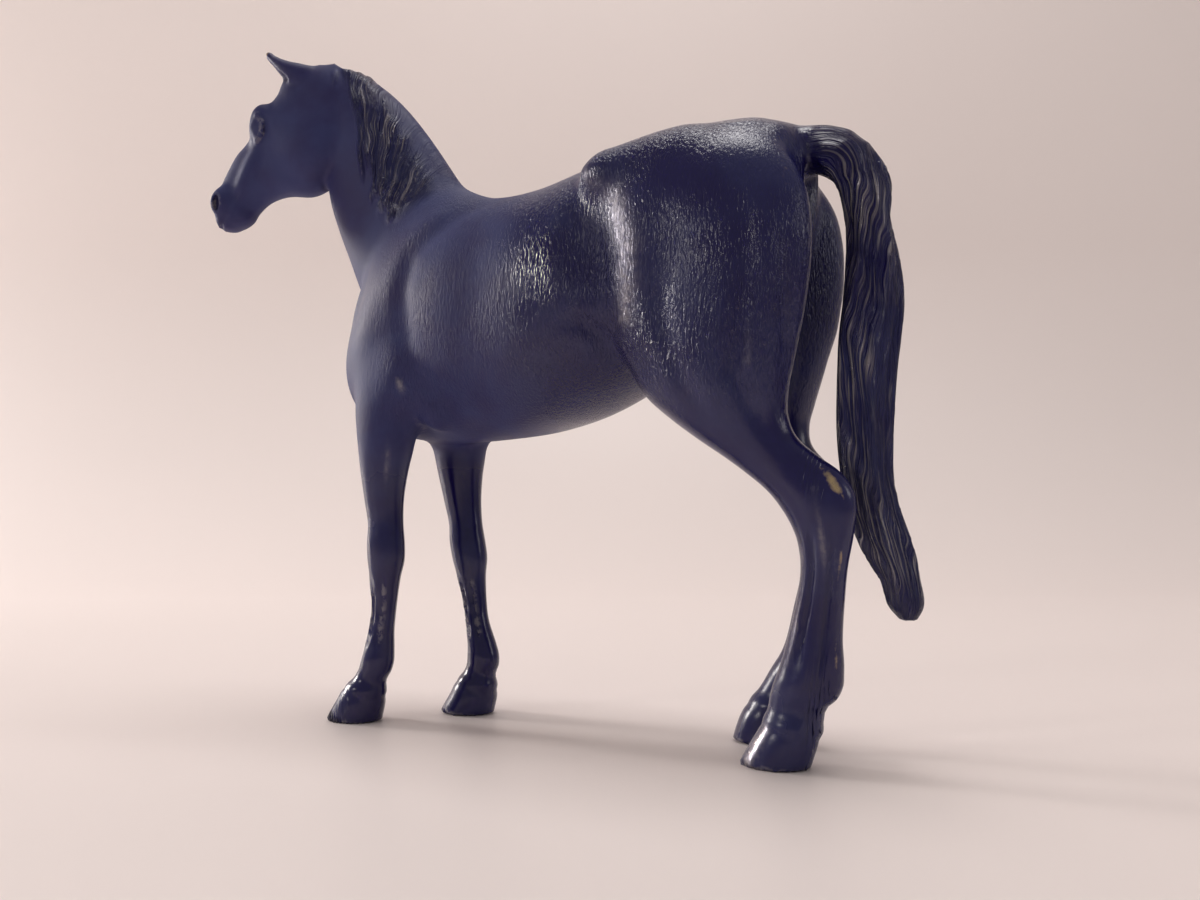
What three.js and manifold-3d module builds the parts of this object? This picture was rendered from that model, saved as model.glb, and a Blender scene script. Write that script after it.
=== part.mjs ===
// A standing horse cast in bronze as one piece, without a plinth.
// It stands on its four hooves with the head toward -X and its left side toward -Y.
// The forms are drawn in hundredths of the height at the withers and joined into one smooth body,
// whose skin is then found on a grid, thinned out to flat facets and cut off level at the soles.

import * as THREE from 'three'
import { mergeVertices } from 'three/addons/utils/BufferGeometryUtils.js'
import Module from 'manifold-3d'

const WITHERS_HEIGHT = 210      // real height at the withers, mm
const WITHERS_LEVEL = 100.7     // the withers in the drawing
const SOLE_LEVEL = 1.4          // the ground in the drawing
const UNIT = WITHERS_HEIGHT / (WITHERS_LEVEL - SOLE_LEVEL)

const GRID_STEP = 1             // spacing of the grid on which the skin is found
const FACETS = 9600             // flat facets that are kept
const FINE_FROM = { x: -36, z: 98 }   // ahead of and above this, the facets are finer
const BRONZE = { color: 0x2b2c3f, roughness: 0.35, metalness: 0.9 }

// Rows of a form that is drawn in slices along an axis: place on the axis, low edge and high edge
// of the slice, middle of its width, half of its width.

const TRUNK = [
  [-50.6, 72.5, 74, 0, 0.8], [-49.4, 66, 79.5, 0, 5.3], [-47.2, 60.5, 85, 0, 8.8], [-43, 56.5, 91, 0, 11],
  [-35, 53.8, 99, 0, 12.6], [-26, 53.2, 101.3, 0, 14.2], [-17, 53.5, 98.9, 0, 15.8],
  [-6, 54.6, 98.8, 0, 17], [4, 57.2, 100.9, 0, 16.8], [13, 61.3, 103.2, 0, 15.8],
  [22, 66.5, 104.3, 0, 15.2], [30, 71.5, 104.9, 0, 14], [36, 77, 104, 0, 12],
  [40, 82, 102, 0, 8.5], [42, 87, 99.5, 0, 4],
]
const NECK = [
  [-10, -14, 17, 0, 9.5], [4, -12.8, 17.8, 0, 8.2], [10, -11.8, 17.9, 0, 7.4],
  [16, -10.6, 17.8, 0, 6.6], [22, -9.4, 17.7, 0, 6], [28, -7.8, 17.4, 0, 5.6],
  [34, -5.5, 16.8, 0, 5.3], [42, -4, 15, 0, 5.1], [48, -3, 12.4, 0, 4.8], [54, -1, 7.4, 0, 3.8],
]
const HEAD = [
  [-3, -6, 0.6, 0, 3], [2, -10, 5.6, 0, 4.6], [6, -12.6, 7.9, 0, 5.2], [9.5, -13.8, 7.1, 0, 5.6],
  [13, -14.6, 7.3, 0, 6], [15.3, -14.7, 8, 0, 5.9], [17.2, -14.5, 7.5, 0, 5.5],
  [19.2, -14, 6.7, 0, 5], [22, -12, 6.7, 0, 4.3], [24.5, -8.2, 7, 0, 3.9], [28, -5.3, 6.6, 0, 3.5],
  [31.5, -4.4, 5.9, 0, 3.2], [34.3, -4.4, 4.8, 0, 3.3], [36.5, -3.3, 3, 0, 3],
  [38.4, -1.7, 1.9, 0, 2.1], [39.2, -0.4, 0.9, 0, 0.8],
]
const EAR = [
  [-3.5, -2, 1.6, 0, 1], [-1, -3.1, 2.8, 0, 1.9], [1.5, -3.1, 2.2, 0, 2.3], [4, -2.6, 1.3, 0, 2.2],
  [6.4, -1.9, 0.7, 0, 1.7], [8.4, -1.3, 0.5, 0, 1.1], [9.6, -0.9, 0.5, 0, 0.8], [10.2, -0.5, 0.3, 0, 0.4],
]
const FORE_LEG = [
  [-1.5, -49.4, -38.6, -10.6, 4.7], [1.5, -48.6, -37.8, -10.6, 4.55], [5.2, -46.3, -36.9, -10.6, 4.1],
  [7.4, -44.8, -36.8, -10.6, 3.6], [9, -43.1, -36.5, -10.5, 2.9], [10.6, -41.9, -35.4, -10.5, 2.7],
  [12.5, -41.1, -34.8, -10.5, 2.8], [14.6, -40.5, -34.8, -10.4, 2.6], [18, -39.5, -34.8, -10.4, 2.15],
  [23, -39.1, -34.3, -10.3, 2.05], [28, -39.6, -33.6, -10.3, 2.6], [31, -40, -32.9, -10.3, 3.1],
  [34, -40.2, -32.9, -10.3, 3.2], [37.5, -40.1, -33.2, -10.3, 2.95], [42, -40.8, -33.2, -10.4, 3.3],
  [47, -41.5, -32.5, -10.5, 4], [52, -42, -31.2, -10.6, 4.7], [58, -42.9, -29.8, -10.4, 5.1],
  [66, -43.5, -28, -9.6, 5.2], [76, -43, -28.5, -8, 4.2], [84, -39, -32, -6.5, 1.5],
]
const HIND_LEG = [
  [-1.5, 30.6, 41.6, -7.6, 4.6], [1.5, 31.6, 42.5, -7.6, 4.4], [4.7, 33.4, 43.6, -7.6, 4.1],
  [7.4, 35, 44.4, -7.6, 3.7], [8.9, 35.8, 44.6, -7.7, 3.2], [10.4, 36.3, 44.9, -7.7, 3],
  [11.9, 36.6, 46.6, -7.8, 3.3], [13.7, 37.1, 47.6, -7.8, 3.5], [16.2, 38.1, 47.9, -7.9, 3.2],
  [20.7, 39.5, 47.8, -8, 2.7], [26.6, 41, 48.2, -8, 2.5], [31.8, 41.7, 48.8, -8.1, 2.7],
  [36.3, 41, 49.7, -8.2, 3.2], [40, 39.1, 50.2, -8.3, 3.6], [43, 36.7, 49.8, -8.4, 3.7],
  [46, 33.1, 47.6, -8.5, 3.6], [48, 30.4, 44.9, -8.6, 3.8], [51, 26, 41.6, -8.8, 4.6],
  [54.5, 21.3, 40.2, -9.1, 5.8], [58, 17.3, 40.3, -9.3, 6.8], [64, 13.8, 41.6, -9.4, 7.4],
  [72, 12.5, 43.4, -9.6, 7.5], [80, 12.9, 44.4, -9.7, 7.4], [86, 14.8, 44.2, -9.5, 7],
  [90.5, 17.5, 43.2, -9.2, 6.4], [96, 23, 40, -8.5, 5], [101, 28, 35, -7, 2],
]
const TAIL = [
  [23.4, 54.6, 57, 0, 1], [25, 53.2, 58, 0, 2], [29.4, 51.7, 57.8, 0, 2.7], [32.4, 49.7, 57.3, 0, 3],
  [35.5, 47.9, 56.4, 0, 3.3], [38.5, 46.9, 55.3, 0, 3.3], [44.7, 45.8, 53.9, 0, 3.4],
  [52.5, 45.1, 54.1, 0, 3.6], [61.9, 45.2, 54.9, 0, 3.9], [68, 45.7, 55.7, 0, 4],
  [72.8, 46.5, 56, 0, 3.9], [77.6, 47.1, 55.7, 0, 3.7], [85.6, 47.2, 54.7, 0, 3.3],
  [91.4, 45.9, 54.4, 0, 3.2], [95, 43.5, 53, 0, 3.2], [98, 41, 50.5, 0, 3], [99.5, 41, 48, 0, 1.5],
]
const DOCK = [
  [30, 96, 103.4, 0, 3], [36, 96, 103.6, 0, 3.3], [41, 95, 102.6, 0, 3.4],
  [46, 93.5, 101.6, 0, 3.3], [49, 93, 100, 0, 3.1], [51, 93.5, 98, 0, 2.2],
]

// The right legs repeat the left ones, set back or forward and aside by amounts that change with
// the height: height, shift along X, shift along Y.
const RIGHT_FORE_SHIFT = [
  [0, 14.3, 15.8], [6, 14.2, 15.8], [14, 12.2, 15.8], [20, 9.8, 16], [26, 8.3, 16.2],
  [34, 6.8, 16.4], [44, 5.6, 16.8], [52, 4.4, 17.2], [62, 2.2, 18], [76, 0, 16],
]
const RIGHT_HIND_SHIFT = [
  [0, -6.4], [8, -7.6], [12, -6], [16, -4.9], [25, -4.8], [33, -4.4], [44, -4.3],
  [51, -2.8], [58, -1.2], [70, 0],
]

// The neck and the head are drawn on tilted axes: a point on the axis, X and Z, and its direction.
const NECK_AXIS = { x: -36, z: 84, dx: -0.5647, dz: 0.8253 }
const HEAD_AXIS = { x: -59.5, z: 130.5, dx: -0.625, dz: -0.781 }
const EAR_AXIS = { x: -64.3, z: 130.2, dx: -0.814, dz: 0.581 }
const EAR_APART = 2.9

// They are bent to the horse's left along an arc that starts at the chest.
const BEND_START = -36
const BEND_LENGTH = 24
const BEND_ANGLE = THREE.MathUtils.degToRad(15)
const BEND_RADIUS = BEND_LENGTH / BEND_ANGLE

// The mane lies on the left of the neck: its lower edge on the neck's axis, place along and across.
const MANE_EDGE = [
  [6, 11], [8.5, 7.5], [11, 4.6], [15, 3], [20, 2.6], [25, 3.7], [33, 5.2], [39, 7.6], [47, 9],
  [52, 9.5],
]
const MANE_REACH = [8, 51]
const MANE_TOP = 13
const MANE_THICKNESS = 1.1
const MANE_LOCK = 4.8
const TAIL_LOCKS = 5
const TAIL_LOCK_DEPTH = 0.42

// Muscles and bones of the left side, where y is negative: centre, radii, tilt, softness of the join
const TRUNK_MUSCLES = {
  shoulderBlade: [[-34.5, -8.4, 78], [17, 4.9, 6.5], 58, 4],
  triceps: [[-21.5, -10, 75.5], [8, 5, 11.5], -12, 5],
  breast: [[-44, -5.5, 66.5], [4.6, 5.2, 9], 8, 3],
  upperArm: [[-31.5, -10.6, 65], [5.5, 4.4, 7], -20, 3],
  elbow: [[-26.5, -9.4, 59], [2.6, 2.6, 4.2], 25, 4],
  rump: [[24, -8, 88], [16, 8.4, 13], -15, 4],
  frontOfThigh: [[18, -10.8, 80], [5, 6.3, 12], 4, 4],
  pointOfHip: [[9.3, -13.6, 94.4], [2.4, 2.5, 2.2], -20, 3],
}
const FLANK_HOLLOW = [[9.6, -21.8, 84], [4.6, 6.6, 9.5], 10, 5]
const STIFLE = [[19, -10.5, 68], [5, 5.3, 7], 30, 4]
const RUMP_HOLLOWS = {
  cleft: [[45.5, 0, 84], [6.5, 2.3, 13], -8, 3.5],
  underDock: [[44.5, 0, 93], [4.5, 3.2, 3], 0, 1.5],
}
const HIP_BONE = [[11.8, -11.6, 95.6], [23, -8, 97], 4.2, 4.8]

// Grooves between the muscles of the left side: points, depth, width
const GROOVES = {
  shoulder: [[[-14, -10, 99.5], [-22, -12.6, 93], [-29, -13.4, 87.5], [-30.6, -14.4, 80],
    [-29, -15.4, 71], [-26, -19, 60]], 0.7, 2.3],
  outerThigh: [[[34, -20, 94], [36.5, -16.8, 84], [36.4, -16.5, 77.3], [35.6, -16.4, 69.8],
    [34, -15.8, 61], [36.5, -13.8, 54.5], [41, -14, 47]], 0.65, 1.1],
  backOfThigh: [[[42, -17, 91], [42.2, -14, 80], [41.6, -13, 73], [41, -11.8, 65.5],
    [41.5, -12, 52]], 0.55, 1],
  frontOfThigh: [[[21, -21, 84], [22, -17, 72], [25, -15.8, 62], [31, -16, 50]], 0.5, 1.8],
  foldOfFlank: [[[3, -18.5, 70], [7.5, -15.6, 70.6], [10.4, -14, 68.4], [12, -12.6, 64],
    [16, -14, 58.5]], 1.4, 1.3],
  hip: [[[6, -13, 99], [6, -16, 91]], 0.45, 1.6],
}

// The legs' relief. The rim of the coronet: height, slope and the place where it has that height.
// The groove in front of the tendon: where it starts and ends, and its place across the leg.
const FORE_RELIEF = { rim: 8.2, slope: -0.25, rimAt: -44, tendonLow: 14, tendonHigh: 29, tendonAt: 0.3 }
const HIND_RELIEF = { rim: 8.4, slope: -0.2, rimAt: 35.5, tendonLow: 16, tendonHigh: 38, tendonAt: 0.25 }

// The same kinds of forms for the head on its axis: along it, to the left, across it
const HEAD_FORMS = {
  cheek: [[12.3, -3.4, -6.8], [8, 3, 7.4], 0, 1.2],
  cheekBone: [[23.5, -2.9, 1], [6, 1.6, 1.2], -8, 2],
  nostrilWing: [[34.3, -2.4, 2.9], [2.6, 1.6, 2], -15, 1.8],
  brow: [[16.2, -3.4, 5.2], [3.6, 1.8, 1.9], -30, 2.4],
}
const HEAD_HOLLOWS = {
  socket: [[17.4, -6.1, 3.5], [3.4, 1.4, 2.3], -40, 1.6],
  nostril: [[35.1, -3.8, 2.6], [1.7, 1.1, 0.8], -35, 0.4],
}
const EYEBALL = [[17.3, -3.8, 3.8], [2.2, 1.4, 1.4], -40, 0.3]
const EYELIDS = {
  front: [[15.2, -4.8, 5.5], [17.9, -4.4, 5.1], [19.4, -4.4, 2.3]],
  back: [[15.2, -4.8, 5.5], [15.8, -5, 3.6], [17.4, -5, 2.3], [19.4, -4.4, 2.3]],
}
const EYELID_RADIUS = 0.4
const LIPS = [[39.4, 0, 0.1], [38, -2.3, -0.5], [35.6, -3.6, -1.1]]
const LIP_RADIUS = 0.35

// Smooth joining of distances to surfaces, and the same for what is hollowed out

function join(a, b, soft) {
  const near = Math.max(soft - Math.abs(a - b), 0) / soft
  return Math.min(a, b) - near * near * soft / 4
}

function carve(a, b, soft) {
  return -join(-a, b, soft)
}

// 0 below 0, 1 above 1 and smooth between
function step(t) {
  return THREE.MathUtils.smoothstep(t, 0, 1)
}

// A ridge or groove of height 1 around 0
function bell(t) {
  return Math.exp(-t * t)
}

// Each column of the rows as a smooth curve over the first column
function smoothColumns(rows) {
  const width = rows[0].length - 1
  const slopes = rows.map((row, i) => {
    const before = rows[Math.max(i - 1, 0)]
    const after = rows[Math.min(i + 1, rows.length - 1)]
    const spanBefore = row[0] - before[0]
    const spanAfter = after[0] - row[0]
    return Array.from({ length: width }, (_, k) => {
      const slopeBefore = spanBefore ? (row[k + 1] - before[k + 1]) / spanBefore : 0
      const slopeAfter = spanAfter ? (after[k + 1] - row[k + 1]) / spanAfter : 0
      return (slopeBefore * spanAfter + slopeAfter * spanBefore) / (spanBefore + spanAfter)
        + (spanBefore ? 0 : slopeAfter) + (spanAfter ? 0 : slopeBefore)
    })
  })
  const values = new Float64Array(width)
  return (u) => {
    let i = 0
    while (i < rows.length - 2 && u > rows[i + 1][0]) i++
    const span = rows[i + 1][0] - rows[i][0]
    const t = THREE.MathUtils.clamp((u - rows[i][0]) / span, 0, 1)
    const rise = t * t * (3 - 2 * t)
    const leave = span * t * (1 - t) * (1 - t)
    const arrive = span * t * t * (1 - t)
    for (let k = 0; k < width; k++) {
      values[k] = rows[i][k + 1] * (1 - rise) + rows[i + 1][k + 1] * rise
        + slopes[i][k] * leave - slopes[i + 1][k] * arrive
    }
    return values
  }
}

// Distance to a form drawn in slices: u runs along its axis, v from the low to the high edge of a
// slice, w across it. A squareness of 2 gives elliptical slices, and more makes them boxier. The
// relief, if any, lifts or lowers the surface by the place in the slice, from -1 to 1 both ways.
function slices(rows, squareness = 2, relief = null) {
  const at = smoothColumns(rows)
  const first = rows[0][0]
  const last = rows[rows.length - 1][0]
  return (u, v, w) => {
    const [low, high, middle, half] = at(u)
    const a = Math.max((high - low) / 2, 0.05)
    const b = Math.max(half, 0.05)
    const p = (v - (low + high) / 2) / a
    const q = (w - middle) / b
    const round = Math.hypot(p, q) + 1e-9
    const reach = squareness === 2 ? round
      : (Math.abs(p) ** squareness + Math.abs(q) ** squareness) ** (1 / squareness)
    const side = (reach - 1) * round / (Math.hypot(p / a, q / b) + 1e-9)
    const end = Math.max(first - u, u - last)
    const d = Math.hypot(Math.max(side, 0), Math.max(end, 0)) + Math.min(Math.max(side, end), 0)
    return relief ? d - relief(u, v, p, q) : d
  }
}

// Distance to an ellipsoid whose long axis is tipped up by an angle in the XZ plane
function ellipsoid([cx, cy, cz], [rx, ry, rz], tilt) {
  const cos = Math.cos(THREE.MathUtils.degToRad(tilt))
  const sin = Math.sin(THREE.MathUtils.degToRad(tilt))
  return (x, y, z) => {
    const along = (x - cx) * cos + (z - cz) * sin
    const up = (z - cz) * cos - (x - cx) * sin
    const across = y - cy
    const k = Math.hypot(along / rx, across / ry, up / rz) + 1e-9
    const slope = Math.hypot(along / (rx * rx), across / (ry * ry), up / (rz * rz)) + 1e-9
    return k * (k - 1) / slope
  }
}

// Distance to a rod that tapers from one rounded end to the other
function taperedRod(from, to, fromRadius, toRadius) {
  const [sx, sy, sz] = from
  const [rx, ry, rz] = to.map((c, n) => c - from[n])
  const lengthSq = rx * rx + ry * ry + rz * rz
  return (x, y, z) => {
    const dx = x - sx
    const dy = y - sy
    const dz = z - sz
    const t = Math.min(Math.max((dx * rx + dy * ry + dz * rz) / lengthSq, 0), 1)
    return Math.hypot(dx - t * rx, dy - t * ry, dz - t * rz)
      - (fromRadius + (toRadius - fromRadius) * t)
  }
}

// Distance to a thin round thread through the points
function thread(points, radius) {
  const rods = points.slice(1).map((point, n) => taperedRod(points[n], point, radius, radius))
  return (x, y, z) => rods.reduce((least, rod) => Math.min(least, rod(x, y, z)), Infinity)
}

// Places on a tilted axis, u along it and v across it
function onAxis(axis, x, z) {
  const dx = x - axis.x
  const dz = z - axis.z
  return [dx * axis.dx + dz * axis.dz, dx * axis.dz - dz * axis.dx]
}

// The point of the straight neck and head that the bend carries to x, y
function straighten(x, y) {
  const ahead = BEND_START - x
  if (ahead <= 0) return [x, y]
  const fromCentre = y + BEND_RADIUS
  const angle = Math.atan2(ahead, fromCentre)
  if (angle < BEND_ANGLE) {
    return [BEND_START - BEND_RADIUS * angle, Math.hypot(ahead, fromCentre) - BEND_RADIUS]
  }
  const cos = Math.cos(BEND_ANGLE)
  const sin = Math.sin(BEND_ANGLE)
  return [
    BEND_START - BEND_LENGTH - (ahead * cos - fromCentre * sin),
    ahead * sin + fromCentre * cos - BEND_RADIUS,
  ]
}

// Forms with the softness of their join, from their centre, radii and tilt
function softEllipsoids(forms) {
  return Object.values(forms).map(([centre, radii, tilt, soft]) => (
    { distance: ellipsoid(centre, radii, tilt), soft }))
}

function joinAll(d, forms, x, y, z) {
  return forms.reduce((sum, { distance, soft }) => join(sum, distance(x, y, z), soft), d)
}

function carveAll(d, forms, x, y, z) {
  return forms.reduce((sum, { distance, soft }) => carve(sum, distance(x, y, z), soft), d)
}

// The parts of the body

const trunkForm = slices(TRUNK, 2.2)
const trunkMuscles = softEllipsoids(TRUNK_MUSCLES)
const flankHollow = softEllipsoids({ FLANK_HOLLOW })
const stifle = softEllipsoids({ STIFLE })
const hipBone = taperedRod(...HIP_BONE)

function trunk(x, y, z) {
  const left = -Math.abs(y)
  let d = trunkForm(x, z, y)
  d = joinAll(d, trunkMuscles, x, left, z)
  d = join(d, hipBone(x, left, z), 3.5)
  d = carveAll(d, flankHollow, x, left, z)
  return joinAll(d, stifle, x, left, z)
}

function legRelief({ rim, slope, rimAt, tendonLow, tendonHigh, tendonAt }) {
  return (u, v, p) => {
    const above = u - rim - slope * (v - rimAt)
    const cannon = step((u - tendonLow) / 3) * step((tendonHigh - u) / 3)
    return 0.2 * bell((above - 0.5) / 0.9) - 0.15 * bell((above + 0.8) / 0.5)
      - cannon * (0.42 * bell((p - tendonAt) / 0.2) - 0.12 * bell((p - tendonAt + 0.5) / 0.3))
  }
}

const foreLeg = slices(FORE_LEG, 2, legRelief(FORE_RELIEF))
const hindLeg = slices(HIND_LEG, 2, legRelief(HIND_RELIEF))
const rightForeShift = smoothColumns(RIGHT_FORE_SHIFT)
const rightHindShift = smoothColumns(RIGHT_HIND_SHIFT)
const grooves = Object.values(GROOVES).map(([points, depth, width]) => (
  { away: thread(points, 0), depth, width }))
const rumpHollows = softEllipsoids(RUMP_HOLLOWS)

function addLegs(body, x, y, z) {
  const [foreBack, foreAside] = rightForeShift(z)
  const [hindBack] = rightHindShift(z)
  const left = -Math.abs(y)
  let d = join(body, foreLeg(z, x, y), 3)
  d = join(d, foreLeg(z, x - foreBack, y - foreAside), 3)
  d = join(d, hindLeg(z, x, y), 2.2)
  d = join(d, hindLeg(z, x - hindBack, -y), 2.2)
  for (const { away, depth, width } of grooves) d += depth * bell(away(x, left, z) / width)
  return carveAll(d, rumpHollows, x, y, z)
}

const headForm = slices(HEAD, 2.3)
const headForms = softEllipsoids(HEAD_FORMS)
const headHollows = softEllipsoids(HEAD_HOLLOWS)
const eyeball = softEllipsoids({ EYEBALL })
const eyelids = Object.values(EYELIDS).map((points) => (
  { distance: thread(points, EYELID_RADIUS), soft: 0.8 }))
const lips = thread(LIPS, LIP_RADIUS)

function head(x, y, z) {
  const [u, v] = onAxis(HEAD_AXIS, x, z)
  const left = -Math.abs(y)
  let d = headForm(u, v, y)
  d = joinAll(d, headForms, u, left, v)
  d = carveAll(d, headHollows, u, left, v)
  d = joinAll(d, eyeball, u, left, v)
  d = joinAll(d, eyelids, u, left, v)
  return carve(d, lips(u, left, v), 0.5)
}

// How far the mane lifts the skin of the neck. Its locks lean back at the poll and hang steeper
// toward the withers.
const maneEdge = smoothColumns(MANE_EDGE)

function mane(u, v, y) {
  const [edge] = maneEdge(u)
  const lean = 0.0475
  const strand = v + 1.2 * Math.exp(-lean * (u - 15)) / lean + 0.5 * Math.sin(0.42 * u + 0.3 * v)
  const wave = Math.sin(2 * Math.PI * strand / MANE_LOCK)
  const below = step((v - edge - 1.3 * wave) / 1.6) * step(-y / 1.5)
  const along = step((u - MANE_REACH[0]) / 2.5) * step((MANE_REACH[1] - u) / 4)
  const crest = 1 - 0.9 * step((v - MANE_TOP) / 3.4)
  return MANE_THICKNESS * below * along * crest * (0.72 + 0.4 * wave)
}

const neckForm = slices(NECK)
const earForm = slices(EAR)
const hollowOfEar = taperedRod([2.6, -2.9, 0.9], [7.6, -1.7, 0.5], 1.4, 0.5)

function addNeckAndHead(body, bentX, bentY, z) {
  const [x, y] = straighten(bentX, bentY)
  const [neckU, neckV] = onAxis(NECK_AXIS, x, z)
  const [earU, earV] = onAxis(EAR_AXIS, x, z)
  const beside = Math.abs(y) - EAR_APART
  const ear = carve(earForm(earU, earV, beside), hollowOfEar(earU, earV, beside), 0.5)
  let d = join(body, neckForm(neckU, neckV, y), 4)
  d = join(d, head(x, y, z), 1.5)
  d = join(d, ear, 0.8)
  return d - mane(neckU, neckV, y)
}

// The hair of the tail hangs in locks that wind a little around it.
const tailForm = slices(TAIL, 2, (u, v, p, q) => {
  const turn = Math.atan2(q, p) - 0.022 * (u - 60) + 0.35 * Math.sin(0.11 * u)
  const wave = Math.sin(TAIL_LOCKS * turn + 0.5 * Math.sin(0.16 * u))
  return TAIL_LOCK_DEPTH * step((101 - u) / 8) * step((u - 22) / 12) * (wave - 0.7)
})
const dockForm = slices(DOCK)

function tail(x, y, z) {
  return join(tailForm(z, x, y), dockForm(x, z, y), 2)
}

function horse(x, y, z) {
  let d = trunk(x, y, z)
  d = addLegs(d, x, y, z)
  d = addNeckAndHead(d, x, y, z)
  return join(d, tail(x, y, z), 1.2)
}

// The grid on which the skin is found reaches a little past the body.
const GRID_LOW = new THREE.Vector3(-92, -24, -3)
const GRID_HIGH = new THREE.Vector3(61, 24, 140)

// Each cell of the grid is split into six tetrahedra around its diagonal. Its corners are numbered
// by the bits of X, Y and Z.
const TETRAHEDRA = [
  [0, 7, 1, 3], [0, 7, 3, 2], [0, 7, 2, 6], [0, 7, 6, 4], [0, 7, 4, 5], [0, 7, 5, 1],
]

// By the bits of the corners that lie inside: the corners of a tetrahedron in an order that keeps
// its handedness, with the one corner that differs or the inside pair first.
const CORNER_ORDER = {
  1: [0, 1, 2, 3], 2: [1, 0, 3, 2], 4: [2, 3, 0, 1], 8: [3, 2, 1, 0],
  14: [0, 1, 2, 3], 13: [1, 0, 3, 2], 11: [2, 3, 0, 1], 7: [3, 2, 1, 0],
  3: [0, 1, 2, 3], 5: [0, 2, 3, 1], 9: [0, 3, 1, 2],
  6: [1, 2, 0, 3], 10: [1, 3, 2, 0], 12: [2, 3, 0, 1],
}

// The distance at each point of the grid. Blocks of points that lie well away from the skin share
// the distance at their middle.
const BLOCK = 4
const BLOCK_REACH = 1.8 * BLOCK * GRID_STEP

function sampleGrid(distance, nx, ny, nz, place) {
  const samples = new Float64Array(nx * ny * nz)
  const fillBlock = (startX, startY, startZ) => {
    const corner = place(startX + nx * (startY + ny * startZ))
    const shared = distance(...corner.map((c) => c + GRID_STEP * (BLOCK - 1) / 2))
    const near = Math.abs(shared) < BLOCK_REACH
    for (let z = startZ; z < Math.min(startZ + BLOCK, nz); z++) {
      for (let y = startY; y < Math.min(startY + BLOCK, ny); y++) {
        for (let x = startX; x < Math.min(startX + BLOCK, nx); x++) {
          const n = x + nx * (y + ny * z)
          samples[n] = near ? distance(...place(n)) : shared
        }
      }
    }
  }
  for (let z = 0; z < nz; z += BLOCK) {
    for (let y = 0; y < ny; y += BLOCK) {
      for (let x = 0; x < nx; x += BLOCK) fillBlock(x, y, z)
    }
  }
  return samples
}

// The skin as points and triangles, with a point wherever it crosses an edge of a tetrahedron.
// Points keep clear of the corners by a share of the edge, so that no triangle is a sliver.
function findSkin(distance) {
  const clear = 0.15
  const [nx, ny, nz] = GRID_HIGH.clone().sub(GRID_LOW).divideScalar(GRID_STEP).toArray()
    .map((n) => Math.ceil(n) + 1)
  const place = (n) => [
    GRID_LOW.x + (n % nx) * GRID_STEP,
    GRID_LOW.y + (Math.floor(n / nx) % ny) * GRID_STEP,
    GRID_LOW.z + Math.floor(n / (nx * ny)) * GRID_STEP,
  ]
  const samples = sampleGrid(distance, nx, ny, nz, place)
  const steps = [0, 1, nx, nx + 1, nx * ny, nx * ny + 1, nx * ny + nx, nx * ny + nx + 1]
  const points = []
  const triangles = []
  const pointOnEdge = new Map()
  const crossing = (a, b) => {
    const key = Math.min(a, b) * samples.length + Math.max(a, b)
    if (!pointOnEdge.has(key)) {
      const t = THREE.MathUtils.clamp(samples[a] / (samples[a] - samples[b]), clear, 1 - clear)
      const end = place(b)
      pointOnEdge.set(key, points.push(place(a).map((c, n) => c + (end[n] - c) * t)) - 1)
    }
    return pointOnEdge.get(key)
  }
  for (let cell = 0; cell + steps[7] < samples.length; cell++) {
    if (cell % nx === nx - 1 || Math.floor(cell / nx) % ny === ny - 1) continue
    const insideCount = steps.reduce((sum, step) => sum + (samples[cell + step] < 0), 0)
    if (insideCount === 0 || insideCount === 8) continue
    for (const tetrahedron of TETRAHEDRA) {
      const corners = tetrahedron.map((c) => cell + steps[c])
      const inside = corners.reduce((bits, c, n) => bits | (samples[c] < 0) << n, 0)
      if (inside === 0 || inside === 15) continue
      const [a, b, c, d] = CORNER_ORDER[inside].map((n) => corners[n])
      if ([1, 2, 4, 8].includes(inside)) {
        triangles.push([crossing(a, b), crossing(a, c), crossing(a, d)])
      } else if ([7, 11, 13, 14].includes(inside)) {
        triangles.push([crossing(a, b), crossing(a, d), crossing(a, c)])
      } else {
        triangles.push([crossing(a, c), crossing(a, d), crossing(b, d)])
        triangles.push([crossing(a, c), crossing(b, d), crossing(b, c)])
      }
    }
  }
  return { points, triangles }
}

// Each point moved straight onto the surface
function settle(points, distance) {
  const h = 0.01
  for (const p of points) {
    for (let pass = 0; pass < 2; pass++) {
      const d = distance(...p)
      const slope = [0, 1, 2].map((n) => {
        const q = [...p]
        q[n] += h
        return (distance(...q) - d) / h
      })
      const steep = slope.reduce((s, g) => s + g * g, 1e-9)
      slope.forEach((g, n) => {
        p[n] -= THREE.MathUtils.clamp(d * g / steep, -GRID_STEP / 2, GRID_STEP / 2)
      })
    }
  }
}

// Sums of squared distances to planes, held as the ten numbers of a symmetric 4 by 4 matrix

function planeSum(a, b, c) {
  const normal = new THREE.Vector3().crossVectors(b.clone().sub(a), c.clone().sub(a))
  const weight = a.x < FINE_FROM.x && a.z > FINE_FROM.z ? 5 : 1
  const area = normal.length() / 2 * weight
  normal.normalize()
  const [nx, ny, nz, d] = [normal.x, normal.y, normal.z, -normal.dot(a)]
  return [nx * nx, nx * ny, nx * nz, nx * d, ny * ny, ny * nz, ny * d, nz * nz, nz * d, d * d]
    .map((m) => m * area)
}

function planeError(m, x, y, z) {
  return m[0] * x * x + m[4] * y * y + m[7] * z * z + m[9]
    + 2 * (m[1] * x * y + m[2] * x * z + m[5] * y * z + m[3] * x + m[6] * y + m[8] * z)
}

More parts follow.
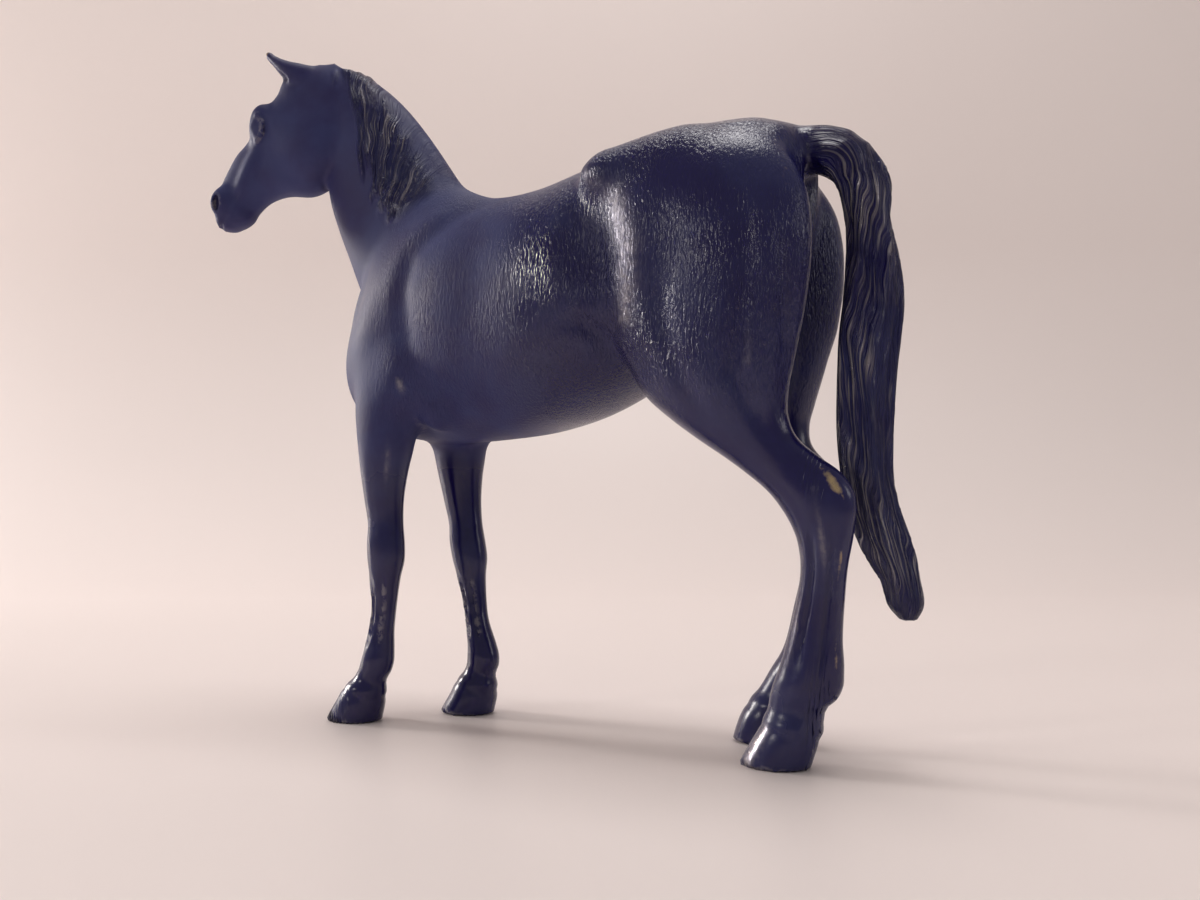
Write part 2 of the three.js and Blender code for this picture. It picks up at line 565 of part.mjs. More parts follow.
// The point with the least error near a and b: the exact one, or the best of the ends and the
// middle where the planes leave it open.
function bestPoint(m, a, b) {
  const middle = a.clone().add(b).multiplyScalar(0.5)
  const pull = 1e-3 * (m[0] + m[4] + m[7]) + 1e-12
  const matrix = new THREE.Matrix3().set(
    m[0] + pull, m[1], m[2], m[1], m[4] + pull, m[5], m[2], m[5], m[7] + pull)
  const choices = [middle, a, b]
  if (Math.abs(matrix.determinant()) > 1e-15) {
    const exact = new THREE.Vector3(-m[3], -m[6], -m[8]).addScaledVector(middle, pull)
      .applyMatrix3(matrix.invert())
    if (exact.distanceTo(middle) < a.distanceTo(b) * 2) choices.unshift(exact)
  }
  const cost = (p) => planeError(m, p.x, p.y, p.z) + 1e-5 * p.distanceToSquared(middle)
  const costs = choices.map(cost)
  const best = costs.indexOf(Math.min(...costs))
  return { point: choices[best], cost: costs[best] }
}

// A queue that gives back the entry of least cost first
class CheapestFirst {
  entries = []

  push(entry) {
    const list = this.entries
    let i = list.push(entry) - 1
    while (i > 0) {
      const above = (i - 1) >> 1
      if (list[above].cost <= entry.cost) break
      list[i] = list[above]
      i = above
    }
    list[i] = entry
  }

  pop() {
    const list = this.entries
    const top = list[0]
    const last = list.pop()
    if (list.length === 0) return top
    let i = 0
    for (;;) {
      let below = 2 * i + 1
      if (below >= list.length) break
      if (below + 1 < list.length && list[below + 1].cost < list[below].cost) below++
      if (list[below].cost >= last.cost) break
      list[i] = list[below]
      i = below
    }
    list[i] = last
    return top
  }
}

// The skin with fewer facets: edges are drawn together to a point, the cheapest first, as long as
// the skin stays closed and no facet turns over.
function thinOut(skin, wanted) {
  const points = skin.points.map((p) => new THREE.Vector3(...p))
  const facets = skin.triangles.map((t) => [...t])
  const around = points.map(() => new Set())
  const sums = points.map(() => new Array(10).fill(0))
  const stamps = new Int32Array(points.length)
  facets.forEach((t, f) => {
    const sum = planeSum(...t.map((v) => points[v]))
    for (const v of t) {
      around[v].add(f)
      sum.forEach((m, n) => { sums[v][n] += m })
    }
  })
  const neighbours = (v) => {
    const found = new Set()
    for (const f of around[v]) facets[f].forEach((w) => found.add(w))
    found.delete(v)
    return found
  }
  const queue = new CheapestFirst()
  const offer = (a, b) => {
    const sum = sums[a].map((m, n) => m + sums[b][n])
    queue.push({ ...bestPoint(sum, points[a], points[b]), a, b, sum, age: stamps[a] + stamps[b] })
  }
  points.forEach((_, a) => {
    for (const b of neighbours(a)) if (a < b) offer(a, b)
  })
  const edge1 = new THREE.Vector3()
  const edge2 = new THREE.Vector3()
  const facing = (p, q, r) => (
    edge1.subVectors(q, p).cross(edge2.subVectors(r, p)).clone())
  const turnsOver = (v, other, to) => [...around[v]].some((f) => {
    if (facets[f].includes(other)) return false
    const before = facing(...facets[f].map((w) => points[w]))
    const after = facing(...facets[f].map((w) => (w === v ? to : points[w])))
    return before.dot(after) < 0.3 * before.length() * after.length() || after.length() < 1e-4
  })
  let left = facets.length
  while (left > wanted && queue.entries.length) {
    const { a, b, point, sum, age } = queue.pop()
    if (!around[a] || !around[b] || age !== stamps[a] + stamps[b]) continue
    const beside = neighbours(b)
    if ([...neighbours(a)].filter((v) => beside.has(v)).length !== 2) continue
    if (turnsOver(a, b, point) || turnsOver(b, a, point)) continue
    for (const f of around[b]) {
      if (facets[f].includes(a)) {
        for (const v of facets[f]) if (v !== b) around[v].delete(f)
        facets[f] = null
        left--
      } else {
        facets[f] = facets[f].map((v) => (v === b ? a : v))
        around[a].add(f)
      }
    }
    around[b] = null
    points[a] = point.clone()
    sums[a] = sum
    stamps[a] += stamps[b] + 1
    for (const v of neighbours(a)) offer(a, v)
  }
  const kept = facets.filter(Boolean)
  const used = [...new Set(kept.flat())]
  const number = new Map(used.map((v, n) => [v, n]))
  return { points: used.map((v) => points[v]), triangles: kept.map((t) => t.map((v) => number.get(v))) }
}

// From the drawing to real size, standing on the ground
function toRealSize({ points, triangles }) {
  const geometry = new THREE.BufferGeometry()
  const real = points.flatMap((p) => [p.x * UNIT, p.y * UNIT, (p.z - SOLE_LEVEL) * UNIT])
  geometry.setAttribute('position', new THREE.Float32BufferAttribute(real, 3))
  geometry.setIndex(triangles.flat())
  return geometry
}

// All below the ground cut away, so that the hooves end in flat soles
async function cutSoles(geometry) {
  const wasm = await Module()
  wasm.setup()
  const solid = ({ attributes, index }) => new wasm.Manifold(new wasm.Mesh({
    numProp: 3,
    vertProperties: new Float32Array(attributes.position.array),
    triVerts: new Uint32Array(index.array),
  }))
  geometry.computeBoundingBox()
  const { min, max } = geometry.boundingBox
  const depth = -min.z + UNIT
  const below = new THREE.BoxGeometry(max.x - min.x + UNIT, max.y - min.y + UNIT, depth)
  below.translate((min.x + max.x) / 2, (min.y + max.y) / 2, -depth / 2)
  below.deleteAttribute('normal')
  below.deleteAttribute('uv')
  const result = solid(geometry).subtract(solid(mergeVertices(below))).getMesh()
  const cut = new THREE.BufferGeometry()
  cut.setAttribute('position', new THREE.BufferAttribute(result.vertProperties, 3))
  cut.setIndex(new THREE.BufferAttribute(result.triVerts, 1))
  return cut
}

const skin = findSkin(horse)
settle(skin.points, horse)
const geometry = await cutSoles(toRealSize(thinOut(skin, FACETS)))
geometry.computeBoundingBox()
const centre = geometry.boundingBox.getCenter(new THREE.Vector3())
geometry.translate(-centre.x, -centre.y, 0)
geometry.computeVertexNormals()

const statue = new THREE.Mesh(geometry, new THREE.MeshStandardMaterial(BRONZE))
statue.name = 'horse'

const group = new THREE.Group()
group.add(statue)

export default group
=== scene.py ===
"""The horse cast in bronze, dressed: the smooth cast skin with its hair, patina and wear, in a pale
studio. The form is the part's own, drawn in hundredths of the height at the withers."""

import bpy
import numpy as np
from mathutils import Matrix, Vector


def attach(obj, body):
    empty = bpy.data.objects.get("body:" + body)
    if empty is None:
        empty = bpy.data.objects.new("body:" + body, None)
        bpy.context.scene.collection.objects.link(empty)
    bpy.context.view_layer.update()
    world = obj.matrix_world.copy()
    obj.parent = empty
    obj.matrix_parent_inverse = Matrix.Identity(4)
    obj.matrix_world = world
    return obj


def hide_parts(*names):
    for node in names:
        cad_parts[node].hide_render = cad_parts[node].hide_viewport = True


WITHERS_HEIGHT = 0.210
WITHERS_LEVEL = 100.7
SOLE_LEVEL = 1.4
UNIT = WITHERS_HEIGHT / (WITHERS_LEVEL - SOLE_LEVEL)

# Rows of a form that is drawn in slices along an axis: place on the axis, low edge and high edge
# of the slice, middle of its width, half of its width.
TRUNK = [
    [-50.6, 72.5, 74, 0, 0.8], [-49.4, 66, 79.5, 0, 5.3], [-47.2, 60.5, 85, 0, 8.8], [-43, 56.5, 91, 0, 11],
    [-35, 53.8, 99, 0, 12.6], [-26, 53.2, 101.3, 0, 14.2], [-17, 53.5, 98.9, 0, 15.8],
    [-6, 54.6, 98.8, 0, 17], [4, 57.2, 100.9, 0, 16.8], [13, 61.3, 103.2, 0, 15.8],
    [22, 66.5, 104.3, 0, 15.2], [30, 71.5, 104.9, 0, 14], [36, 77, 104, 0, 12],
    [40, 82, 102, 0, 8.5], [42, 87, 99.5, 0, 4],
]
NECK = [
    [-10, -14, 17, 0, 9.5], [4, -12.8, 17.8, 0, 8.2], [10, -11.8, 17.9, 0, 7.4],
    [16, -10.6, 17.8, 0, 6.6], [22, -9.4, 17.7, 0, 6], [28, -7.8, 17.4, 0, 5.6],
    [34, -5.5, 16.8, 0, 5.3], [42, -4, 15, 0, 5.1], [48, -3, 12.4, 0, 4.8], [54, -1, 7.4, 0, 3.8],
]
HEAD = [
    [-3, -6, 0.6, 0, 3], [2, -10, 5.6, 0, 4.6], [6, -12.6, 7.9, 0, 5.2], [9.5, -13.8, 7.1, 0, 5.6],
    [13, -14.6, 7.3, 0, 6], [15.3, -14.7, 8, 0, 5.9], [17.2, -14.5, 7.5, 0, 5.5],
    [19.2, -14, 6.7, 0, 5], [22, -12, 6.7, 0, 4.3], [24.5, -8.2, 7, 0, 3.9], [28, -5.3, 6.6, 0, 3.5],
    [31.5, -4.4, 5.9, 0, 3.2], [34.3, -4.4, 4.8, 0, 3.3], [36.5, -3.3, 3, 0, 3],
    [38.4, -1.7, 1.9, 0, 2.1], [39.2, -0.4, 0.9, 0, 0.8],
]
EAR = [
    [-3.5, -2, 1.6, 0, 1], [-1, -3.1, 2.8, 0, 1.9], [1.5, -3.1, 2.2, 0, 2.3], [4, -2.6, 1.3, 0, 2.2],
    [6.4, -1.9, 0.7, 0, 1.7], [8.4, -1.3, 0.5, 0, 1.1], [9.6, -0.9, 0.5, 0, 0.8], [10.2, -0.5, 0.3, 0, 0.4],
]
FORE_LEG = [
    [-1.5, -49.4, -38.6, -10.6, 4.7], [1.5, -48.6, -37.8, -10.6, 4.55], [5.2, -46.3, -36.9, -10.6, 4.1],
    [7.4, -44.8, -36.8, -10.6, 3.6], [9, -43.1, -36.5, -10.5, 2.9], [10.6, -41.9, -35.4, -10.5, 2.7],
    [12.5, -41.1, -34.8, -10.5, 2.8], [14.6, -40.5, -34.8, -10.4, 2.6], [18, -39.5, -34.8, -10.4, 2.15],
    [23, -39.1, -34.3, -10.3, 2.05], [28, -39.6, -33.6, -10.3, 2.6], [31, -40, -32.9, -10.3, 3.1],
    [34, -40.2, -32.9, -10.3, 3.2], [37.5, -40.1, -33.2, -10.3, 2.95], [42, -40.8, -33.2, -10.4, 3.3],
    [47, -41.5, -32.5, -10.5, 4], [52, -42, -31.2, -10.6, 4.7], [58, -42.9, -29.8, -10.4, 5.1],
    [66, -43.5, -28, -9.6, 5.2], [76, -43, -28.5, -8, 4.2], [84, -39, -32, -6.5, 1.5],
]
HIND_LEG = [
    [-1.5, 30.6, 41.6, -7.6, 4.6], [1.5, 31.6, 42.5, -7.6, 4.4], [4.7, 33.4, 43.6, -7.6, 4.1],
    [7.4, 35, 44.4, -7.6, 3.7], [8.9, 35.8, 44.6, -7.7, 3.2], [10.4, 36.3, 44.9, -7.7, 3],
    [11.9, 36.6, 46.6, -7.8, 3.3], [13.7, 37.1, 47.6, -7.8, 3.5], [16.2, 38.1, 47.9, -7.9, 3.2],
    [20.7, 39.5, 47.8, -8, 2.7], [26.6, 41, 48.2, -8, 2.5], [31.8, 41.7, 48.8, -8.1, 2.7],
    [36.3, 41, 49.7, -8.2, 3.2], [40, 39.1, 50.2, -8.3, 3.6], [43, 36.7, 49.8, -8.4, 3.7],
    [46, 33.1, 47.6, -8.5, 3.6], [48, 30.4, 44.9, -8.6, 3.8], [51, 26, 41.6, -8.8, 4.6],
    [54.5, 21.3, 40.2, -9.1, 5.8], [58, 17.3, 40.3, -9.3, 6.8], [64, 13.8, 41.6, -9.4, 7.4],
    [72, 12.5, 43.4, -9.6, 7.5], [80, 12.9, 44.4, -9.7, 7.4], [86, 14.8, 44.2, -9.5, 7],
    [90.5, 17.5, 43.2, -9.2, 6.4], [96, 23, 40, -8.5, 5], [101, 28, 35, -7, 2],
]
TAIL = [
    [23.4, 54.6, 57, 0, 1], [25, 53.2, 58, 0, 2], [29.4, 51.7, 57.8, 0, 2.7], [32.4, 49.7, 57.3, 0, 3],
    [35.5, 47.9, 56.4, 0, 3.3], [38.5, 46.9, 55.3, 0, 3.3], [44.7, 45.8, 53.9, 0, 3.4],
    [52.5, 45.1, 54.1, 0, 3.6], [61.9, 45.2, 54.9, 0, 3.9], [68, 45.7, 55.7, 0, 4],
    [72.8, 46.5, 56, 0, 3.9], [77.6, 47.1, 55.7, 0, 3.7], [85.6, 47.2, 54.7, 0, 3.3],
    [91.4, 45.9, 54.4, 0, 3.2], [95, 43.5, 53, 0, 3.2], [98, 41, 50.5, 0, 3], [99.5, 41, 48, 0, 1.5],
]
DOCK = [
    [30, 96, 103.4, 0, 3], [36, 96, 103.6, 0, 3.3], [41, 95, 102.6, 0, 3.4],
    [46, 93.5, 101.6, 0, 3.3], [49, 93, 100, 0, 3.1], [51, 93.5, 98, 0, 2.2],
]

# The right legs repeat the left ones, set back or forward and aside by amounts that change with
# the height: height, shift along X, shift along Y.
RIGHT_FORE_SHIFT = [
    [0, 14.3, 15.8], [6, 14.2, 15.8], [14, 12.2, 15.8], [20, 9.8, 16], [26, 8.3, 16.2],
    [34, 6.8, 16.4], [44, 5.6, 16.8], [52, 4.4, 17.2], [62, 2.2, 18], [76, 0, 16],
]
RIGHT_HIND_SHIFT = [
    [0, -6.4], [8, -7.6], [12, -6], [16, -4.9], [25, -4.8], [33, -4.4], [44, -4.3],
    [51, -2.8], [58, -1.2], [70, 0],
]

# The neck and the head are drawn on tilted axes: a point on the axis, X and Z, and its direction.
NECK_AXIS = (-36, 84, -0.5647, 0.8253)
HEAD_AXIS = (-59.5, 130.5, -0.625, -0.781)
EAR_AXIS = (-64.3, 130.2, -0.814, 0.581)
EAR_APART = 2.9

# The neck and its mane lie before this X.
NECK_BEFORE = -20

# They are bent to the horse's left along an arc that starts at the chest.
BEND_START = -36
BEND_LENGTH = 24
BEND_ANGLE = np.radians(15)
BEND_RADIUS = BEND_LENGTH / BEND_ANGLE

TRUNK_SQUARENESS = 2.2
HEAD_SQUARENESS = 2.3

# How softly the larger forms are joined to the body
FORE_LEG_SOFT = 3
HIND_LEG_SOFT = 2.2
NECK_SOFT = 4
HEAD_SOFT = 1.5
EAR_SOFT = 0.8
DOCK_SOFT = 2
TAIL_SOFT = 1.2

# The rim of the coronet: its level on the leg's axis, its slope and where that is measured from.
# Then its ridge and the groove under it: depth, place and width. A ridge has a negative depth.
FORE_CORONET = (8.2, -0.25, -44)
HIND_CORONET = (8.4, -0.2, 35.5)
CORONET_RELIEF = [(-0.2, 0.5, 0.9), (0.15, -0.8, 0.5)]

# The lines beside the tendon: the heights between which they show and where the tendon lies in the
# slice, then how they fade at both ends, and the depth, the place from the tendon and the width of
# each groove or ridge
FORE_TENDON = (14, 29, 0.3)
HIND_TENDON = (16, 38, 0.45)
TENDON_FADE = 3
TENDON_RELIEF = [(0.5, 0, 0.15), (0.4, -0.75, 0.15), (-0.2, 0.27, 0.15), (-0.2, -1, 0.18)]

# The mane: its lower edge across the neck, on the neck's axis, and where it starts and ends along it
MANE_EDGE = [
    [6, 11], [8.5, 7.5], [11, 4.6], [15, 3], [20, 2.6], [25, 3.7], [33, 5.2], [39, 7.6], [47, 9],
    [52, 9.5],
]
MANE_START = 9
MANE_END = 51
MANE_FADE_IN = 5
MANE_FADE_OUT = 4
MANE_EDGE_FADE = 2.4
MANE_THICKNESS = 1.1

# Up to the crest it thins by a share, and only points this near to the skin are lifted
MANE_THINS_FROM = 13
MANE_THINS_OVER = 3.4
MANE_THINS_BY = 0.9
MANE_REACH = 4

# Its locks: how steeply they run across the neck at a place on the axis, how fast that falls off
# along it, and waves across them, each with its height, its length and where it starts
MANE_SLOPE = 1.19722
MANE_SLOPE_AT = 15
MANE_SLOPE_FALL = 0.0475
MANE_EDGE_WAVES = [(1.3, 4.8, 0), (0.6, 2.3, 0)]
MANE_LOCK_WAVES = [(0.5, 4.8, 0), (0.3, 2, 1)]

# The tail: where it starts behind the rump, how its locks twist on the way down, and their height,
# their number round the tail and how far, how fast and from where they wander
TAIL_FROM = 42
TAIL_TWIST = 0.022
TAIL_TWIST_FROM = 60
TAIL_SWAY = 0.35
TAIL_SWAY_PACE = 0.11
TAIL_LOCKS = [(0.34, 5, 0.5, 0.16, 0), (0.2, 11, 1.1, 0.13, 1)]
TAIL_LOCK_SINK = 0.3
TAIL_LOCKS_BELOW = 101
TAIL_LOCKS_ABOVE = 22
TAIL_FADE_TOP = 8
TAIL_FADE_TIP = 12

# Where the root of the tail turns down: the middle of the bend, X and Z, its radius, and half the
# thickness of the dock in the bend and across
DOCK_BEND_X = 44.5
DOCK_BEND_Z = 92.5
DOCK_BEND_RADIUS = 5
DOCK_HALF_THICKNESS = 4.4
DOCK_HALF_WIDTH = 3.3

# Muscles and bones of the trunk on the left side, where y is negative: centre, radii, tilt and how
# softly each is joined
TRUNK_MUSCLES = [
    [(-34.5, -8.4, 78), (17, 4.9, 6.5), 58, 4],       # shoulder blade and what lies on it
    [(-21.5, -10, 75.5), (8, 5, 11.5), -12, 5],       # triceps
    [(-44, -5.5, 66.5), (4.6, 5.2, 9), 8, 3],         # breast
    [(-31.5, -10.6, 65), (5.5, 4.4, 7), -20, 3],      # upper arm
    [(-26.5, -9.4, 59), (2.6, 2.6, 4.2), 25, 4],      # elbow
    [(24, -8, 88), (16, 8.4, 13), -15, 4],            # rump
    [(18, -10.8, 80), (5, 6.3, 12), 4, 4],            # front of the thigh
    [(9.3, -13.6, 94.4), (2.4, 2.5, 2.2), -20, 3],    # point of the hip
]
HIP_BONE = [(11.8, -11.6, 95.6), (23, -8, 97), 4.2, 4.8]
HIP_BONE_SOFT = 3.5
FLANK_HOLLOW = [(9.6, -21.8, 84), (4.6, 6.6, 9.5), 10, 5]
STIFLE = [(19, -10.5, 68), (5, 5.3, 7), 30, 4]
CLEFT = [(45.5, 0, 84), (6.5, 2.3, 13), -8, 3.5]
UNDER_DOCK = [(44.5, 0, 93), (4.5, 3.2, 3), 0, 1.5]

# Grooves between the muscles of the left side: points, depth, width
GROOVES = [
    [[(-14, -10, 99.5), (-22, -12.6, 93), (-29, -13.4, 87.5), (-30.6, -14.4, 80), (-29, -15.4, 71),
      (-26, -19, 60)], 0.7, 2.3],
    [[(34, -20, 94), (36.5, -16.8, 84), (36.4, -16.5, 77.3), (35.6, -16.4, 69.8), (34, -15.8, 61),
      (36.5, -13.8, 54.5), (41, -14, 47)], 1.1, 1.4],
    [[(42, -17, 91), (42.2, -14, 80), (41.6, -13, 73), (41, -11.8, 65.5), (41.5, -12, 52)], 0.95, 1.2],
    [[(21, -21, 84), (22, -17, 72), (25, -15.8, 62), (31, -16, 50)], 0.5, 1.8],
    [[(3, -18.5, 70), (7.5, -15.6, 70.6), (10.4, -14, 68.4), (12, -12.6, 64), (16, -14, 58.5)], 1.4, 1.3],
    [[(6, -13, 99), (6, -16, 91)], 0.45, 1.6],
]

# Forms of the head, with their places on its axis: along it, to the left, across it
HEAD_FORMS = [
    [(12.3, -3.4, -6.8), (8, 3, 7.4), 0, 1.2],            # cheek
    [(23.5, -2.9, 1), (6, 1.6, 1.2), -8, 2],              # cheek bone
    [(34.3, -2.4, 2.9), (2.6, 1.6, 2), -15, 1.8],         # wing of the nostril
    [(16.2, -3.4, 5.2), (3.6, 1.8, 1.9), -30, 2.4],       # brow
]
HEAD_HOLLOWS = [
    [(17.4, -6.1, 3.5), (3.4, 1.4, 2.3), -40, 1.6],       # socket of the eye
    [(35.1, -3.8, 2.6), (1.7, 1.1, 0.8), -35, 0.4],       # nostril
]
EYEBALL = [(17.3, -3.8, 3.8), (2.2, 1.4, 1.4), -40, 0.3]
EYELIDS = [
    [(15.2, -4.8, 5.5), (17.9, -4.4, 5.1), (19.4, -4.4, 2.3)],
    [(15.2, -4.8, 5.5), (15.8, -5, 3.6), (17.4, -5, 2.3), (19.4, -4.4, 2.3)],
]
EYELID_RADIUS = 0.4
EYELID_SOFT = 0.8
LIPS = [(39.4, 0, 0.1), (38, -2.3, -0.5), (35.6, -3.6, -1.1)]
LIP_GROOVE_RADIUS = 0.35
LIP_GROOVE_SOFT = 0.5

# The hollow of the ear, on the ear's axis: its two ends and their radii
EAR_HOLLOW = [(2.6, 0.9, -2.9), (7.6, 0.5, -1.7), 1.4, 0.5]
EAR_HOLLOW_SOFT = 0.5

# Places where the patina is worn to the metal: two ends of a stroke, its radius and how strong
WORN = [
    [(45.8, -11.4, 47.5), (48.3, -11, 43), 1.1, 0.95],         # hock
    [(49, -5.6, 46), (48.5, -5.8, 40), 1, 0.6],                # inside of the hock
    [(48.8, -10.3, 42), (47.2, -9.6, 17), 0.4, 0.8],           # back of the hind cannon
    [(31.6, -8.5, 3.5), (31.2, -9, 1.6), 1.1, 0.9],            # toe of the hind hoof
    [(38, -11.9, 1.6), (33, -11, 1.6), 0.5, 0.7],              # rim of the hind hoof
    [(-31, -15.6, 62.5), (-29, -15.4, 60), 0.8, 0.6],          # elbow
    [(-72.6, 2, 136), (-71, -10, 136), 1.2, 0.8],              # tips of the ears
    [(9.2, -15, 95.6), (9.6, -15.8, 93.6), 0.9, 0.6],          # point of the hip
    [(41, -12, 93), (41.3, -12.6, 87.5), 1.6, 0.45],           # point of the buttock
    [(43.6, -8, 93), (43.6, -9, 84), 1.3, 0.45],               # beside the dock
]

# The same for places rubbed to a paler shine; the paler metal there is partly real wear and partly a
# painted highlight
RUB_AND_HIGHLIGHT_STROKES = [
    [(9.3, -15.5, 95), (10.5, -15, 94), 0.9, 0.9],             # point of the hip
    [(14, -16, 90), (17, -17, 82), 2.2, 0.4],                  # under the hip
    [(17, -17, 82), (16, -16, 71), 1.8, 0.45],                 # front of the thigh
    [(12, -15, 69.5), (17, -14.5, 61), 0.7, 0.5],              # fold of the flank
    [(36.5, -16.5, 70), (36, -15.5, 62), 0.6, 0.4],            # back of the thigh
    [(40.8, -12.5, 80), (40.2, -11.5, 70), 0.6, 0.5],          # hamstring
    [(45, -11.5, 43), (47.5, -10.5, 20), 0.35, 0.5],           # side of the hind cannon
    [(42.4, -10.2, 34), (40.5, -9.9, 17), 0.4, 0.6],           # front of the hind cannon
    [(36, -10.4, 7), (33.2, -10.8, 1.5), 1, 1],                # front of the hind hoof
    [(-30.2, -14.9, 63.5), (-29.6, -15, 61), 0.4, 0.6],        # elbow
    [(-33, -14, 58), (-34.5, -13.5, 38), 0.35, 0.35],          # forearm
]

# The marks on the skin that the patina reads
MARKS = ("worn", "rub_and_highlight", "hollow_shade", "sharp", "hair", "long_hair", "coat", "polish")

# The grid on which the skin is found, drawn closer at the head and the neck and at the tail: by what
# share, from which X on, and over what length that comes in. It shrinks toward one level.
GRID_STEP = 0.73
GRID_LOW = (-92, -26, -3)
GRID_HIGH = (62, 26, 142)
GRID_STILL_LEVEL = 100
HEAD_SHRINK = 0.5
HEAD_SHRINK_FROM = -40
HEAD_SHRINK_LENGTH = 14
TAIL_SHRINK = 0.3
TAIL_SHRINK_FROM = 42
TAIL_SHRINK_LENGTH = 5
X_SAMPLES = 3000

# Blocks of cells that the skin may pass through, how near it has to be to count, in blocks, the
# distance written where it doesn't, and how many points are measured at a time
BLOCK = 4
BLOCK_REACH = 1.9
FAR = 1e3
POINTS_AT_A_TIME = 300000

# How far one step of settling may move a point, a number that keeps zeros out of divisions, and the
# least half thickness of a slice
LONGEST_MOVE = 0.5
TINY = 1e-9
THINNEST_SLICE = 0.05

# How far out and in the skin is probed for hollows and for sharp edges
SHELTER_REACH = 2.2
SHARP_REACH = 1.2

# Colours: the patina's dark and light clouds, its deep tone that also paints shade in the hollows, pale
# metal for rubbed places and painted highlights, bare metal, the floor
PATINA_DARK = (0.008, 0.004, 0.075, 1)
PATINA_LIGHT = (0.022, 0.028, 0.125, 1)
DEEP_PATINA_AND_SHADE = (0.004, 0.002, 0.05, 1)
PALE_METAL_AND_HIGHLIGHT = (0.52, 0.48, 0.48, 1)
BARE_METAL = (0.66, 0.50, 0.29, 1)
FLOOR_COLOUR = (0.83, 0.745, 0.715, 1)

# How rough the wax is where it is dull and where it shines
DULL_WAX = 0.58
SHINY_WAX = 0.22

# How fine the texture is, in waves per metre: clouds in the patina, specks of the cast skin, bare metal,
# patches of painted highlights on the crests of the long hair and of deeper strokes in the coat, the
# strokes themselves and how they lean
CLOUD_SCALE = 28
SPECK_SCALE = 420
WEAR_SCALE = 260
CREST_PATCH_SCALE = 45
COAT_PATCH_SCALE = 16
HAIR_SCALE = (1100, 1100, 260)
HAIR_TURN = (0, 0.35, 0)

# Strands of the mane and the tail: how many across a lock, and along it in waves per metre
STRANDS_ACROSS = 2.6
STRANDS_ALONG = 26

# The depth of the relief in metres, and how much of it the strands, strokes and specks take
RELIEF_DEPTH = 0.0011
STRAND_HEIGHT = 3.6
STROKE_HEIGHT = 0.9
SPECK_HEIGHT = 0.08

# The studio, in metres: half its width, how far the floor comes forward, the bend from the floor to
# the wall, the wall and its height
STAGE_HALF_WIDTH = 5
STAGE_FRONT = -2.2
STAGE_BEND_RADIUS = 0.5
STAGE_BEND_POINTS = 24
WALL_AT = 1.1
WALL_TOP = 2.6
FLOOR_ROUGHNESS = 0.45
FLOOR_UNEVENNESS = 1.03
FLOOR_CLOUD_SCALE = 3

# Soft lights: name, place, size, watts, colour. All point at the middle of the horse.
LIGHT_TARGET = (0, 0, 0.14)
LIGHTS = [
    ("window_left", (-2.3, -0.1, 0.75), (0.6, 0.65), 38, (1, 0.95, 0.92)),
    ("lamp_front", (-1.5, -2.0, 0.95), (0.28, 0.28), 6, (1, 0.95, 0.9)),
    ("lamp_above", (0.0, 0.2, 2.2), (1.0, 1.0), 21, (1, 0.97, 0.96)),
    ("window_right", (2.2, 0.4, 1.0), (0.5, 0.9), 4, (1, 0.96, 0.95)),
]
ROOM_COLOUR = (1, 0.95, 0.93, 1)
ROOM_STRENGTH = 0.28

# The camera stands to the left of the tail, a little above the hocks, and looks slightly upward. Its
# place is in the units of the drawing, and the drawing's middle is where the part's origin lies.
VIEW_AZIMUTH = np.radians(28)
VIEW_RISE = np.radians(3.9)
CAMERA_AT = (86.1, -156.4, 38.8)
DRAWING_MIDDLE = (-13.42, 0)
LENS = 30
SENSOR_WIDTH = 36
NEAREST_SEEN = 0.01


def join(a, b, soft):
    """Distance to two forms joined with a soft fillet"""
    near = np.maximum(soft - np.abs(a - b), 0) / soft
    return np.minimum(a, b) - near * near * soft / 4


def carve(a, b, soft):
    """Distance to the first form with the second taken out of it"""
    return -join(-a, b, soft)


def step(t):
    """0 below 0, 1 above 1 and smooth between"""
    t = np.clip(t, 0, 1)
    return t * t * (3 - 2 * t)


def bell(t):
    """A ridge or groove of height 1 around 0"""
    return np.exp(-t * t)


def relief(rows, t):
    """Grooves and ridges across t: depth, place and width of each"""
    return sum(depth * bell((t - place) / width) for depth, place, width in rows)


def waves(rows, t):
    """Sine waves along t: height, length and start of each"""
    return sum(height * np.sin(2 * np.pi * t / length + start) for height, length, start in rows)


def smooth_columns(rows, u):
    """Each column of the rows as a smooth curve over the first column"""
    table = np.asarray(rows, float)
    place, value = table[:, 0], table[:, 1:]
    span = np.diff(place)[:, None]
    rise = np.diff(value, axis=0) / span
    slope = np.empty_like(value)
    slope[0], slope[-1] = rise[0], rise[-1]
    slope[1:-1] = (rise[:-1] * span[1:] + rise[1:] * span[:-1]) / (span[1:] + span[:-1])
    i = np.clip(np.searchsorted(place, u) - 1, 0, len(place) - 2)
    width = span[i]
    t = np.clip((u - place[i])[:, None] / width, 0, 1)
    ease = step(t)
    columns = (value[i] * (1 - ease) + value[i + 1] * ease
               + slope[i] * width * t * (1 - t) ** 2 - slope[i + 1] * width * t * t * (1 - t))
    return columns.T


def slices(rows, u, v, w, squareness=2):
    """Distance to a form drawn in slices: u along its axis, v from the low to the high edge of a
    slice, w across it. A squareness of 2 gives elliptical slices, and more makes them boxier.
    Also gives where the point lies in its slice, from -1 to 1 both ways."""
    low, high, middle, half = smooth_columns(rows, u)
    a = np.maximum((high - low) / 2, THINNEST_SLICE)
    b = np.maximum(half, THINNEST_SLICE)
    p = (v - (low + high) / 2) / a
    q = (w - middle) / b
    around = np.hypot(p, q) + TINY
    reach = around
    if squareness != 2:
        reach = (np.abs(p) ** squareness + np.abs(q) ** squareness) ** (1 / squareness)
    side = (reach - 1) * around / (np.hypot(p / a, q / b) + TINY)
    end = np.maximum(rows[0][0] - u, u - rows[-1][0])
    d = np.hypot(np.maximum(side, 0), np.maximum(end, 0)) + np.minimum(np.maximum(side, end), 0)
    return d, p, q


